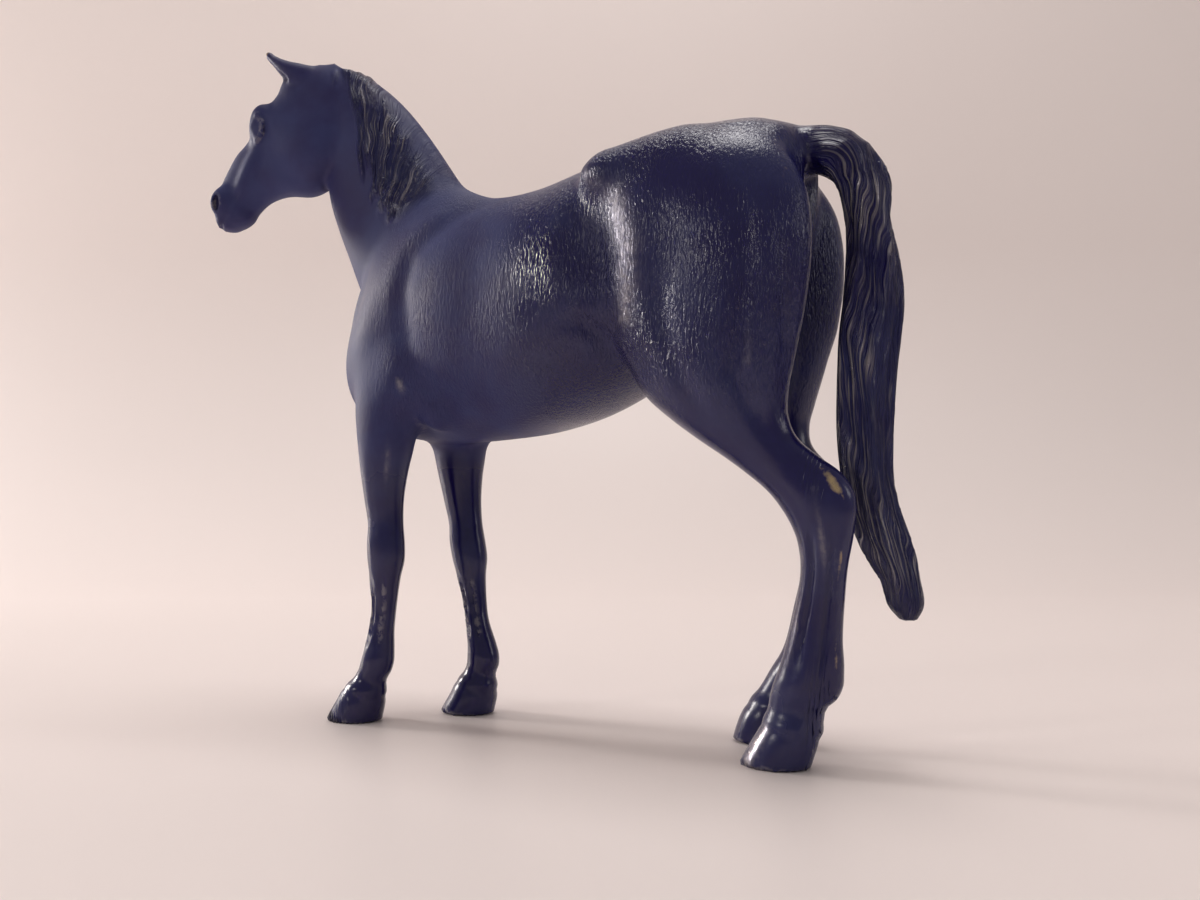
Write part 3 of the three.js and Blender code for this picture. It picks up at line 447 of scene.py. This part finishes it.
def ellipsoid(centre, radii, tilt, x, y, z):
    """Distance to an ellipsoid whose long axis is tipped up by an angle in the XZ plane"""
    cos, sin = np.cos(np.radians(tilt)), np.sin(np.radians(tilt))
    along = (x - centre[0]) * cos + (z - centre[2]) * sin
    up = (z - centre[2]) * cos - (x - centre[0]) * sin
    across = y - centre[1]
    rx, ry, rz = radii
    k = np.sqrt((along / rx) ** 2 + (across / ry) ** 2 + (up / rz) ** 2) + TINY
    slope = np.sqrt((along / rx ** 2) ** 2 + (across / ry ** 2) ** 2 + (up / rz ** 2) ** 2) + TINY
    return k * (k - 1) / slope


def tapered_rod(start, end, start_radius, end_radius, x, y, z):
    """Distance to a rod that tapers from one rounded end to the other"""
    run = np.subtract(end, start)
    dx, dy, dz = x - start[0], y - start[1], z - start[2]
    t = np.clip((dx * run[0] + dy * run[1] + dz * run[2]) / (run @ run), 0, 1)
    away = np.sqrt((dx - t * run[0]) ** 2 + (dy - t * run[1]) ** 2 + (dz - t * run[2]) ** 2)
    return away - (start_radius + (end_radius - start_radius) * t)


def thread(points, radius, x, y, z):
    """Distance to a thin round thread through the points"""
    d = np.full_like(x, FAR)
    for start, end in zip(points, points[1:]):
        d = np.minimum(d, tapered_rod(start, end, radius, radius, x, y, z))
    return d


def on_axis(axis, x, z):
    """Place on a tilted axis, along it and across it"""
    dx, dz = x - axis[0], z - axis[1]
    return dx * axis[2] + dz * axis[3], dx * axis[3] - dz * axis[2]


def straighten(x, y):
    """The point of the straight neck and head that the bend carries to x, y"""
    ahead = BEND_START - x
    across = y + BEND_RADIUS
    angle = np.arctan2(ahead, across)
    in_arc = angle < BEND_ANGLE
    cos, sin = np.cos(BEND_ANGLE), np.sin(BEND_ANGLE)
    straight_x = np.where(in_arc, BEND_START - BEND_RADIUS * angle,
                          BEND_START - BEND_LENGTH - (ahead * cos - across * sin))
    straight_y = np.where(in_arc, np.hypot(ahead, across), ahead * sin + across * cos) - BEND_RADIUS
    behind = ahead <= 0
    return np.where(behind, x, straight_x), np.where(behind, y, straight_y)


def trunk(x, y, z):
    left = -np.abs(y)
    d = slices(TRUNK, x, z, y, TRUNK_SQUARENESS)[0]
    for centre, radii, tilt, soft in TRUNK_MUSCLES:
        d = join(d, ellipsoid(centre, radii, tilt, x, left, z), soft)
    d = join(d, tapered_rod(*HIP_BONE, x, left, z), HIP_BONE_SOFT)
    centre, radii, tilt, soft = FLANK_HOLLOW
    d = carve(d, ellipsoid(centre, radii, tilt, x, left, z), soft)
    centre, radii, tilt, soft = STIFLE
    return join(d, ellipsoid(centre, radii, tilt, x, left, z), soft)


def leg_relief(rows, u, v, w, coronet, tendon):
    """Distance to a leg with the rim of its coronet and the lines beside its tendon"""
    d, p, _ = slices(rows, u, v, w)
    level, slope, front = coronet
    low, high, place = tendon
    above = u - level - slope * (v - front)
    along = step((u - low) / TENDON_FADE) * step((high - u) / TENDON_FADE)
    return d + relief(CORONET_RELIEF, above) + along * relief(TENDON_RELIEF, p - place)


def add_legs(body, x, y, z):
    fore_back, fore_aside = smooth_columns(RIGHT_FORE_SHIFT, z)
    (hind_back,) = smooth_columns(RIGHT_HIND_SHIFT, z)
    d = body
    for back, aside in ((0, 0), (fore_back, fore_aside)):
        leg = leg_relief(FORE_LEG, z, x - back, y - aside, FORE_CORONET, FORE_TENDON)
        d = join(d, leg, FORE_LEG_SOFT)
    for back, side in ((0, 1), (hind_back, -1)):
        leg = leg_relief(HIND_LEG, z, x - back, side * y, HIND_CORONET, HIND_TENDON)
        d = join(d, leg, HIND_LEG_SOFT)
    left = -np.abs(y)
    for points, depth, width in GROOVES:
        d = d + depth * bell(thread(points, 0, x, left, z) / width)
    for centre, radii, tilt, soft in (CLEFT, UNDER_DOCK):
        d = carve(d, ellipsoid(centre, radii, tilt, x, y, z), soft)
    return d


def head(x, y, z):
    u, v = on_axis(HEAD_AXIS, x, z)
    left = -np.abs(y)
    d = slices(HEAD, u, v, y, HEAD_SQUARENESS)[0]
    for centre, radii, tilt, soft in HEAD_FORMS:
        d = join(d, ellipsoid(centre, radii, tilt, u, left, v), soft)
    for centre, radii, tilt, soft in HEAD_HOLLOWS:
        d = carve(d, ellipsoid(centre, radii, tilt, u, left, v), soft)
    centre, radii, tilt, soft = EYEBALL
    d = join(d, ellipsoid(centre, radii, tilt, u, left, v), soft)
    for lid in EYELIDS:
        d = join(d, thread(lid, EYELID_RADIUS, u, left, v), EYELID_SOFT)
    return carve(d, thread(LIPS, LIP_GROOVE_RADIUS, u, left, v), LIP_GROOVE_SOFT)


def mane_strand(neck_u, neck_v):
    """Which lock of the mane a point lies in, where the locks don't wave"""
    slope = MANE_SLOPE * np.exp(-MANE_SLOPE_FALL * (neck_u - MANE_SLOPE_AT))
    return neck_v + slope / MANE_SLOPE_FALL


def mane(neck_u, neck_v, y):
    """How far the mane lifts the skin of the neck, with its locks"""
    (edge,) = smooth_columns(MANE_EDGE, neck_u)
    strand = mane_strand(neck_u, neck_v) + 0.5 * np.sin(0.42 * neck_u + 0.3 * neck_v)
    ragged = waves(MANE_EDGE_WAVES, strand) * step((neck_u - 7) / 7)
    along = step((neck_u - MANE_START) / MANE_FADE_IN) * step((MANE_END - neck_u) / MANE_FADE_OUT)
    thin = 1 - MANE_THINS_BY * step((neck_v - MANE_THINS_FROM) / MANE_THINS_OVER)
    cover = along * step((neck_v - edge - ragged) / MANE_EDGE_FADE) * thin * step(-y / 1.5)
    locks = waves(MANE_LOCK_WAVES, strand) * step((neck_u - MANE_START) / 9)
    return MANE_THICKNESS * cover * (0.72 + 0.5 * locks)


def add_neck_and_head(body, bent_x, bent_y, z):
    x, y = straighten(bent_x, bent_y)
    neck_u, neck_v = on_axis(NECK_AXIS, x, z)
    ear_u, ear_v = on_axis(EAR_AXIS, x, z)
    d = join(body, slices(NECK, neck_u, neck_v, y)[0], NECK_SOFT)
    d = join(d, head(x, y, z), HEAD_SOFT)
    beside = np.abs(y) - EAR_APART
    ear = slices(EAR, ear_u, ear_v, beside)[0]
    ear = carve(ear, tapered_rod(*EAR_HOLLOW, ear_u, beside, ear_v), EAR_HOLLOW_SOFT)
    d = join(d, ear, EAR_SOFT)
    return d - np.where(d < MANE_REACH, mane(neck_u, neck_v, y), 0)


def tail_turn(around, z):
    """An angle round the tail, followed down its twisting locks"""
    return around - TAIL_TWIST * (z - TAIL_TWIST_FROM) + TAIL_SWAY * np.sin(TAIL_SWAY_PACE * z)


def tail(x, y, z):
    d, p, q = slices(TAIL, z, x, y)
    turn = tail_turn(np.arctan2(q, p), z)
    locks = sum(height * np.sin(count * turn + wander * np.sin(pace * z + start))
                for height, count, wander, pace, start in TAIL_LOCKS)
    hang = step((TAIL_LOCKS_BELOW - z) / TAIL_FADE_TOP) * step((z - TAIL_LOCKS_ABOVE) / TAIL_FADE_TIP)
    d = d - hang * (locks - TAIL_LOCK_SINK)
    return join(d, slices(DOCK, x, z, y)[0], DOCK_SOFT)


def horse(x, y, z):
    d = trunk(x, y, z)
    d = add_legs(d, x, y, z)
    d = add_neck_and_head(d, x, y, z)
    return np.maximum(join(d, tail(x, y, z), TAIL_SOFT), SOLE_LEVEL - z)


def closeness(x):
    """The share that is left of the grid's step at x"""
    at_head = HEAD_SHRINK * step((HEAD_SHRINK_FROM - x) / HEAD_SHRINK_LENGTH)
    at_tail = TAIL_SHRINK * step((x - TAIL_SHRINK_FROM) / TAIL_SHRINK_LENGTH)
    return 1 - at_head - at_tail


# X in the drawing, and how far along the even grid it lies
DRAWN_X = np.linspace(GRID_LOW[0], GRID_HIGH[0], X_SAMPLES)
EVEN_X = np.concatenate([[0], np.cumsum(np.diff(DRAWN_X) / closeness(DRAWN_X[1:]))])


def to_drawing(grid):
    """Where the points of the even grid lie in the drawing"""
    x = np.interp(grid[:, 0], EVEN_X, DRAWN_X)
    scale = closeness(x)
    z = GRID_STILL_LEVEL + (grid[:, 2] - GRID_STILL_LEVEL) * scale
    return np.stack([x, grid[:, 1] * scale, z], 1)


def distance(points):
    return horse(points[:, 0], points[:, 1], points[:, 2])


def corners(grid, count):
    """The eight corners of every cell of a grid of values"""
    for a in (0, 1):
        for b in (0, 1):
            for c in (0, 1):
                yield (a, b, c), grid[a:count[0] - 1 + a, b:count[1] - 1 + b, c:count[2] - 1 + c]


def fill_blocks(values):
    """Each value repeated over the cells of its block"""
    for axis in range(3):
        values = np.repeat(values, BLOCK, axis)
    return values


def sample(low, high):
    """Distances on the grid, exact near the skin and rough elsewhere"""
    block_step = GRID_STEP * BLOCK
    blocks = np.ceil((high - low) / block_step).astype(int) + 1
    index = np.stack(np.meshgrid(*[np.arange(n) for n in blocks], indexing="ij"), -1)
    rough = distance(to_drawing(low + block_step * index.reshape(-1, 3))).reshape(blocks)
    near = np.zeros(blocks - 1, bool)
    for _, part in corners(np.abs(rough) < block_step * BLOCK_REACH, blocks):
        near |= part
    count = (blocks - 1) * BLOCK + 1
    values = np.full(count, FAR, np.float32)
    values[:-1, :-1, :-1] = np.where(fill_blocks(rough[:-1, :-1, :-1] < 0), -FAR, FAR)
    wanted = np.zeros(count, bool)
    cells = fill_blocks(near)
    for _, part in corners(wanted, count):
        part |= cells
    points = to_drawing(low + GRID_STEP * np.argwhere(wanted))
    parts = np.array_split(points, 1 + len(points) // POINTS_AT_A_TIME)
    values[wanted] = np.concatenate([distance(part) for part in parts])
    return values


def find_skin():
    """Points and four-sided faces of the skin: a point in each cell that the skin crosses"""
    still = np.array([0, 0, GRID_STILL_LEVEL])
    low = still + (GRID_LOW - still) / (1 - HEAD_SHRINK)
    high = still + (GRID_HIGH - still) / (1 - HEAD_SHRINK)
    low[0], high[0] = 0, EVEN_X[-1]
    values = sample(low, high)
    count = np.array(values.shape)
    inside = values < 0
    filled = sum(part.astype(np.int8) for _, part in corners(inside, count))
    crossed = (filled > 0) & (filled < 8)
    cells = np.argwhere(crossed)
    number = np.full(crossed.shape, -1, np.int64)
    number[crossed] = np.arange(len(cells))
    offsets = np.array([offset for offset, _ in corners(values, count)])
    at = [values[tuple((cells + offset).T)].astype(float) for offset in offsets]
    total = np.zeros((len(cells), 3))
    hits = np.zeros(len(cells))
    for a in range(8):
        for b in range(a + 1, 8):
            if np.abs(offsets[a] - offsets[b]).sum() != 1:
                continue
            cut = (at[a] < 0) != (at[b] < 0)
            share = at[a][cut] / (at[a][cut] - at[b][cut])
            total[cut] += offsets[a] + (offsets[b] - offsets[a]) * share[:, None]
            hits[cut] += 1
    points = to_drawing(low + GRID_STEP * (cells + total / hits[:, None]))
    faces = []
    for axis, (b, c) in enumerate([(1, 2), (2, 0), (0, 1)]):
        first = np.moveaxis(inside, axis, 0)[:-1]
        second = np.moveaxis(inside, axis, 0)[1:]
        edges = np.argwhere(np.moveaxis(first != second, 0, axis))
        outward = np.moveaxis(first, 0, axis)[tuple(edges.T)]
        corner = []
        for db, dc in ((-1, -1), (0, -1), (0, 0), (-1, 0)):
            cell = edges.copy()
            cell[:, b] += db
            cell[:, c] += dc
            corner.append(number[tuple(cell.T)])
        face = np.stack(corner, 1)
        face[~outward] = face[~outward][:, ::-1]
        faces.append(face)
    return points, np.concatenate(faces)


def steepness(points, reach=0.03):
    """How fast the distance grows along X, Y and Z"""
    columns = []
    for axis in range(3):
        shift = np.zeros(3)
        shift[axis] = reach
        columns.append((distance(points + shift) - distance(points - shift)) / (2 * reach))
    return np.stack(columns, 1)


def settle(points):
    """The points moved straight onto the surface, and its directions there"""
    for _ in range(2):
        gradient = steepness(points)
        move = -(distance(points) / ((gradient ** 2).sum(1) + TINY))[:, None] * gradient
        length = np.linalg.norm(move, axis=1, keepdims=True)
        points = points + move * np.minimum(1, LONGEST_MOVE / np.maximum(length, TINY))
    return points, gradient / np.linalg.norm(gradient, axis=1, keepdims=True)


def real_size(points, middle):
    """The drawing's points in metres, round a middle and up from the soles"""
    return (points - [middle[0], middle[1], SOLE_LEVEL]) * UNIT


def strokes_on(strokes, x, y, z):
    """The strongest of the strokes at each point, fading out across their radius"""
    shares = [strength * np.exp(-(tapered_rod(start, end, 0, 0, x, y, z) / radius) ** 2)
              for start, end, radius, strength in strokes]
    return np.max(shares, 0)


def tail_hair_run(x, y, z):
    """How much a point belongs to the tail, and which hair of the tail it lies on"""
    tail_distance, p, q = slices(TAIL, z, x, y)
    dock_distance = slices(DOCK, x, z, y)[0]
    on_tail = step(1.5 - np.minimum(tail_distance, dock_distance)) * step((x - TAIL_FROM) / 3)
    outside_bend = np.hypot(np.maximum(x - DOCK_BEND_X, 0), z - DOCK_BEND_Z) - DOCK_BEND_RADIUS
    in_bend = np.arctan2(y / DOCK_HALF_WIDTH, outside_bend / DOCK_HALF_THICKNESS)
    around = np.where(z > DOCK_BEND_Z, in_bend, np.arctan2(q, p))
    ripple = 0.3 * np.sin(0.3 * z + 3 * around) + 0.12 * np.sin(0.71 * z + 7 * around)
    return on_tail, 3.6 * tail_turn(around, z) + ripple


def mane_hair_run(x, y, z):
    """How much a point belongs to the mane, and which hair of the mane it lies on"""
    straight_x, straight_y = straighten(x, y)
    neck_u, neck_v = on_axis(NECK_AXIS, straight_x, z)
    lift = np.where(x < NECK_BEFORE, mane(neck_u, neck_v, straight_y) / MANE_THICKNESS, 0)
    on_mane = np.clip(1.6 * lift, 0, 1)
    return on_mane, mane_strand(neck_u, neck_v) + 0.3 * np.sin(0.55 * neck_u + 0.8 * neck_v)


def surface_marks(points, outward):
    """What the material reads at each point: how worn, how rubbed (partly painted highlights), how deep in
    a hollow (painted shade), how sharp, where the coat is engraved with hair, how the long hair runs, and
    how polished the wax is"""
    x, y, z = points.T
    # How deep a point lies in a hollow: it darkens the colour as painted shade and dulls the wax
    hollow_shade = 1 - np.clip(distance(points + SHELTER_REACH * outward) / SHELTER_REACH, 0, 1)
    sharp = 1 - np.clip(-distance(points - SHARP_REACH * outward) / SHARP_REACH, 0, 1)
    at_buttocks = step((x - 34) / 4) * step((z - 48) / 6)
    on_tail, tail_hair = tail_hair_run(x, y, z)
    on_mane, mane_hair = mane_hair_run(x, y, z)
    long_hair = np.maximum(on_tail, on_mane)
    behind_shoulder = step((x + 16) / 18)
    on_lower_leg = step((56 - z) / 12)
    above_legs = step((z - 50) / 12)
    behind_chest = step((x + 46) / 24)
    return {
        "worn": strokes_on(WORN, x, y, z),
        "rub_and_highlight": strokes_on(RUB_AND_HIGHLIGHT_STROKES, x, y, z),
        "hollow_shade": hollow_shade,
        "sharp": sharp * (1 - at_buttocks),
        "hair": np.where(on_tail > 0, tail_hair, mane_hair),
        "long_hair": long_hair,
        "coat": above_legs * behind_chest * (1 - on_tail) * (1 - on_mane),
        "polish": np.clip(behind_shoulder + on_lower_leg + long_hair, 0, 1),
    }


def node(tree, kind, links=(), **values):
    """A shader node, with its settings, the values of its sockets and what is linked to them"""
    made = tree.nodes.new(kind)
    for name, value in values.items():
        setattr(made, name, value)
    for socket, value in dict(links).items():
        target = made.inputs[socket]
        if isinstance(value, bpy.types.NodeSocket):
            tree.links.new(value, target)
        else:
            target.default_value = value
    return made


def calculate(tree, operation, a, b):
    return node(tree, "ShaderNodeMath", {0: a, 1: b}, operation=operation).outputs[0]


def multiply(tree, a, b):
    return calculate(tree, "MULTIPLY", a, b)


def add(tree, a, b):
    return calculate(tree, "ADD", a, b)


def larger(tree, a, b):
    return calculate(tree, "MAXIMUM", a, b)


def between(tree, value, low, high, out_low=0.0, out_high=1.0):
    """A smooth change from one value to another while the input goes from low to high"""
    links = {"Value": value, "From Min": low, "From Max": high, "To Min": out_low, "To Max": out_high}
    return node(tree, "ShaderNodeMapRange", links, interpolation_type="SMOOTHSTEP").outputs[0]


def mix_colour(tree, share, a, b):
    """Sockets 0, 6 and 7 of the node are its factor and its two colours, and output 2 the mix"""
    return node(tree, "ShaderNodeMix", {0: share, 6: a, 7: b}, data_type="RGBA").outputs[2]


def noise(tree, vector, scale, detail=2.0, roughness=0.5, distortion=0.0):
    links = {"Vector": vector, "Scale": scale, "Detail": detail, "Roughness": roughness,
             "Distortion": distortion}
    return node(tree, "ShaderNodeTexNoise", links).outputs["Fac"]


def stretched(tree, vector, scale, turn):
    links = {"Vector": vector, "Scale": scale, "Rotation": turn}
    return node(tree, "ShaderNodeMapping", links).outputs[0]


def new_material(name):
    material = bpy.data.materials.new(name)
    material.use_nodes = True
    tree = material.node_tree
    return material, tree, tree.nodes["Principled BSDF"]


def hair_strands(tree, here, mark):
    """Noise drawn out along the hair of the mane and the tail"""
    height = node(tree, "ShaderNodeSeparateXYZ", {0: here}).outputs["Z"]
    flow = node(tree, "ShaderNodeCombineXYZ", {
        "X": multiply(tree, mark["hair"], STRANDS_ACROSS),
        "Y": multiply(tree, height, STRANDS_ALONG),
    })
    return multiply(tree, noise(tree, flow.outputs[0], 1, 3, 0.6), mark["long_hair"])


def hair_strokes(tree, here, mark):
    """Short strokes engraved in the coat, deeper in some patches than in others"""
    strokes = noise(tree, stretched(tree, here, HAIR_SCALE, HAIR_TURN), 1, 2, 0.6, 0.8)
    patches = between(tree, noise(tree, here, COAT_PATCH_SCALE, 2), 0.35, 0.6, 0.25, 1)
    return multiply(tree, strokes, multiply(tree, mark["coat"], patches))


def patina():
    """Dark blue-black patina, waxed, engraved with hair and worn to the metal on the high points"""
    material, tree, shader = new_material("bronze_patina")
    here = tree.nodes.new("ShaderNodeTexCoord").outputs["Object"]
    mark = {name: node(tree, "ShaderNodeAttribute", attribute_name=name).outputs["Fac"]
            for name in MARKS}
    clouds = noise(tree, here, CLOUD_SCALE, 4, 0.6)
    specks = noise(tree, here, SPECK_SCALE, 3, 0.6)
    strands = hair_strands(tree, here, mark)

    colour = mix_colour(tree, between(tree, clouds, 0.35, 0.68), PATINA_DARK, PATINA_LIGHT)
    # Painted shade: the colour darkens toward the deep patina where the point lies in a hollow
    colour = mix_colour(tree, between(tree, mark["hollow_shade"], 0.25, 0.8), colour, DEEP_PATINA_AND_SHADE)
    colour = mix_colour(tree, between(tree, mark["polish"], 0.1, 1, 0, 0.5), colour, DEEP_PATINA_AND_SHADE)

    edges = between(tree, mark["sharp"], 0.3, 0.8, 0, 0.3)
    edges = multiply(tree, edges, between(tree, specks, 0.4, 0.62))
    # Painted highlights: the crests of the strands of the mane and the tail take the paler metal colour
    strand_highlights = between(tree, strands, 0.49, 0.68, 0, 0.8)
    strand_highlights = multiply(tree, strand_highlights, between(tree, noise(tree, here, CREST_PATCH_SCALE, 2), 0.35, 0.65))
    # Rubbed places take the paler metal, partly real wear and partly painted highlights
    patches = multiply(tree, mark["rub_and_highlight"], between(tree, specks, 0.3, 0.7, 0.3, 1))
    rub_and_highlight = larger(tree, larger(tree, edges, strand_highlights), patches)
    colour = mix_colour(tree, rub_and_highlight, colour, PALE_METAL_AND_HIGHLIGHT)

    ragged = multiply(tree, noise(tree, here, WEAR_SCALE, 4, 0.75), 1.1)
    bare = between(tree, add(tree, mark["worn"], ragged), 1.0, 1.6)
    colour = mix_colour(tree, bare, colour, BARE_METAL)
    tree.links.new(colour, shader.inputs["Base Color"])
    tree.links.new(larger(tree, bare, rub_and_highlight), shader.inputs["Metallic"])
    shader.inputs["Specular IOR Level"].default_value = 0.5

    in_hollows = between(tree, mark["hollow_shade"], 0.2, 0.8, 0.0, 0.2)
    dull = add(tree, between(tree, clouds, 0.3, 0.7, -0.04, 0.06), in_hollows)
    roughness = add(tree, dull, between(tree, mark["polish"], 0, 1, DULL_WAX, SHINY_WAX))
    tree.links.new(roughness, shader.inputs["Roughness"])

    grain = add(tree, multiply(tree, strands, STRAND_HEIGHT), multiply(tree, specks, SPECK_HEIGHT))
    height = add(tree, multiply(tree, hair_strokes(tree, here, mark), STROKE_HEIGHT), grain)
    bump = node(tree, "ShaderNodeBump", {"Height": height, "Strength": 0.8, "Distance": RELIEF_DEPTH})
    tree.links.new(bump.outputs[0], shader.inputs["Normal"])
    return material


def pale_floor():
    """The floor's material, with a faint unevenness"""
    material, tree, shader = new_material("pale_floor")
    here = tree.nodes.new("ShaderNodeTexCoord").outputs["Object"]
    lighter = [channel * FLOOR_UNEVENNESS for channel in FLOOR_COLOUR[:3]] + [1]
    colour = mix_colour(tree, noise(tree, here, FLOOR_CLOUD_SCALE, 3), FLOOR_COLOUR, lighter)
    tree.links.new(colour, shader.inputs["Base Color"])
    shader.inputs["Roughness"].default_value = FLOOR_ROUGHNESS
    return material


def smooth_object(name, points, faces, material):
    """An object in the scene with smooth faces and one material"""
    mesh = bpy.data.meshes.new(name)
    mesh.from_pydata(points, [], faces)
    mesh.polygons.foreach_set("use_smooth", np.ones(len(mesh.polygons), bool))
    mesh.materials.append(material)
    made = bpy.data.objects.new(name, mesh)
    bpy.context.scene.collection.objects.link(made)
    return made


def build_horse():
    points, faces = find_skin()
    points, outward = settle(points)
    middle = (points.min(0) + points.max(0)) / 2
    made = smooth_object("horse_cast", real_size(points, middle), faces.tolist(), patina())
    for name, values in surface_marks(points, outward).items():
        attribute = made.data.attributes.new(name, "FLOAT", "POINT")
        attribute.data.foreach_set("value", values.astype(np.float32))
    return made


def build_stage():
    """A pale floor that rises in a curve to a pale wall"""
    turn = np.linspace(0, np.pi / 2, STAGE_BEND_POINTS)
    bend = WALL_AT - STAGE_BEND_RADIUS + STAGE_BEND_RADIUS * np.sin(turn)
    depth = np.concatenate([[STAGE_FRONT], bend, [WALL_AT]])
    height = np.concatenate([[0], STAGE_BEND_RADIUS * (1 - np.cos(turn)), [WALL_TOP]])
    cos = np.cos(VIEW_AZIMUTH)
    sin = np.sin(VIEW_AZIMUTH)
    points = [(a * cos - d * sin, a * sin + d * cos, h)
              for d, h in zip(depth, height) for a in (-STAGE_HALF_WIDTH, STAGE_HALF_WIDTH)]
    faces = [(2 * n, 2 * n + 1, 2 * n + 3, 2 * n + 2) for n in range(len(depth) - 1)]
    smooth_object("studio_floor", points, faces, pale_floor())


def aim(thing, target):
    """Turn a light toward a point"""
    thing.rotation_euler = (Vector(target) - thing.location).to_track_quat("-Z", "Y").to_euler()


def add_light(name, place, size, watts, colour):
    data = bpy.data.lights.new(name, "AREA")
    data.shape = "RECTANGLE"
    data.size = size[0]
    data.size_y = size[1]
    data.energy = watts
    data.color = colour
    made = bpy.data.objects.new(name, data)
    made.location = place
    bpy.context.scene.collection.objects.link(made)
    aim(made, LIGHT_TARGET)


def light_studio():
    for light in LIGHTS:
        add_light(*light)
    world = bpy.data.worlds.new("studio")
    world.use_nodes = True
    background = world.node_tree.nodes["Background"]
    background.inputs["Color"].default_value = ROOM_COLOUR
    background.inputs["Strength"].default_value = ROOM_STRENGTH
    bpy.context.scene.world = world
    bpy.context.scene.view_settings.view_transform = "Standard"


def add_camera():
    data = bpy.data.cameras.new("camera")
    data.lens = LENS
    data.sensor_width = SENSOR_WIDTH
    data.clip_start = NEAREST_SEEN
    made = bpy.data.objects.new("camera", data)
    made.location = real_size(np.array([CAMERA_AT]), DRAWING_MIDDLE)[0]
    made.rotation_euler = (np.pi / 2 + VIEW_RISE, 0, VIEW_AZIMUTH)
    bpy.context.scene.collection.objects.link(made)
    bpy.context.scene.camera = made


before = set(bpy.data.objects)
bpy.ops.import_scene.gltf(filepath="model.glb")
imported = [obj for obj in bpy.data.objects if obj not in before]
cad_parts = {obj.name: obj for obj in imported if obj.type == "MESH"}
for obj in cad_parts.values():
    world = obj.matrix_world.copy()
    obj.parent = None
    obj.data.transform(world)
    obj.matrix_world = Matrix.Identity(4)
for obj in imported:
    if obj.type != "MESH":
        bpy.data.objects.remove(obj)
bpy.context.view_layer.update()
statue = build_horse()
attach(statue, "root")
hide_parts("horse")
build_stage()
light_studio()
add_camera()
bpy.context.view_layer.update()
